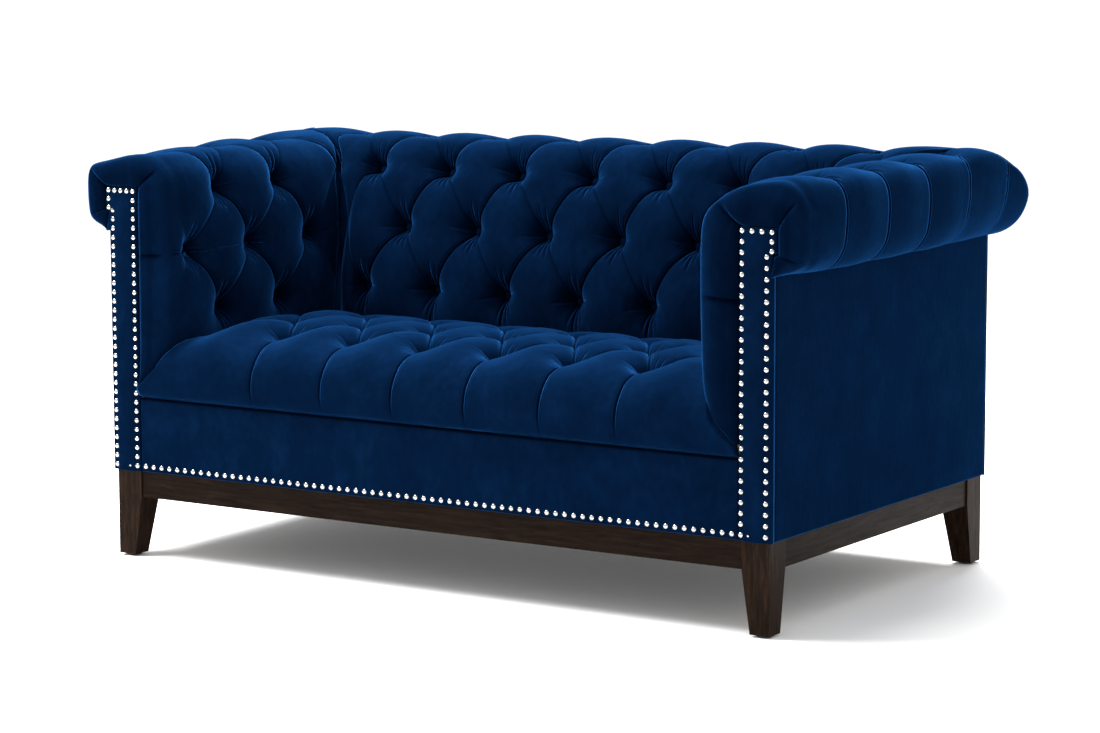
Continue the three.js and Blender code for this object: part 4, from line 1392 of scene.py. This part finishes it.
# ================= Studio =================
CAMERA_PLACE = (3.8412, -5.5079, 1.3931)  # y from the front plane
CAMERA_TURN = (32.9083, 8.2173, -0.1644)  # degrees round, down and rolled
CAMERA_LENS = 121.85
SKY_STRENGTH = 0.88


def make_camera():
    turn, tilt, roll = (math.radians(angle) for angle in CAMERA_TURN)
    back = Vector((math.sin(turn) * math.cos(tilt), -math.cos(turn) * math.cos(tilt), math.sin(tilt)))
    right = Vector((math.cos(turn), math.sin(turn), 0))
    up = back.cross(right)
    rolled_right = right * math.cos(roll) + up * math.sin(roll)
    rolled_up = up * math.cos(roll) - right * math.sin(roll)
    x, y, z = CAMERA_PLACE
    data = bpy.data.cameras.new("camera")
    data.lens = CAMERA_LENS
    data.sensor_width = 36
    camera = bpy.data.objects.new("camera", data)
    turned = Matrix((rolled_right, rolled_up, back)).transposed().to_4x4()
    camera.matrix_world = Matrix.Translation((x, y + FRONT, z)) @ turned
    bpy.context.scene.collection.objects.link(camera)
    bpy.context.scene.camera = camera


def area_light(name, place, aim, size, power):
    data = bpy.data.lights.new(name, "AREA")
    data.shape = "RECTANGLE"
    data.size, data.size_y = size
    data.energy = power
    light = bpy.data.objects.new(name, data)
    light.location = place
    light.rotation_euler = (Vector(aim) - Vector(place)).to_track_quat("-Z", "Y").to_euler()
    bpy.context.scene.collection.objects.link(light)


def pale_floor():
    """A pale floor that glows a little more the further away it is, so that it runs out to white."""
    material, tree, shader = new_material("studio_floor")
    grain = noise(tree, 3.0, 2.0)
    place = tree.nodes.new("ShaderNodeTexCoord")
    away = tree.nodes.new("ShaderNodeVectorMath")
    away.operation = "LENGTH"
    tree.links.new(place.outputs["Object"], away.inputs[0])
    set_inputs(tree, shader, {
        "Base Color": ramp(tree, grain, [(0.3, (0.95, 0.95, 0.95)), (0.7, (0.97, 0.97, 0.97))]),
        "Roughness": 0.9,
        "Emission Color": (1, 1, 1, 1),
        "Emission Strength": remap(tree, away.outputs["Value"], 1.2, 5.0, 0.04, 0.20),
        "Specular IOR Level": 0.1,
    })
    return material


def make_studio():
    world = bpy.data.worlds.new("studio")
    bpy.context.scene.world = world
    world.use_nodes = True
    background = world.node_tree.nodes["Background"]
    background.inputs["Color"].default_value = (1, 1, 1, 1)
    background.inputs["Strength"].default_value = SKY_STRENGTH
    area_light("key", (-1.9, -1.2, 3.4), (0, 0, 0.3), (1.8, 1.8), 235)
    area_light("top", (-0.5, 1.3, 3.0), (-0.3, 0.1, 0.6), (2.4, 1.4), 250)
    bpy.ops.mesh.primitive_plane_add(size=60, location=(0, 0, 0))
    floor = bpy.context.object
    floor.name = "floor"
    floor.data.materials.append(pale_floor())
    settings = bpy.context.scene.view_settings
    settings.view_transform = "Standard"
    settings.look = "None"


make_camera()
make_studio()
dress_frame()
make_seat()
make_seam_shade()
for arm_side in SIDES:
    make_arm(arm_side)
    make_facing(arm_side)
make_back()
make_panels()
make_nails()
make_hidden_cloth()
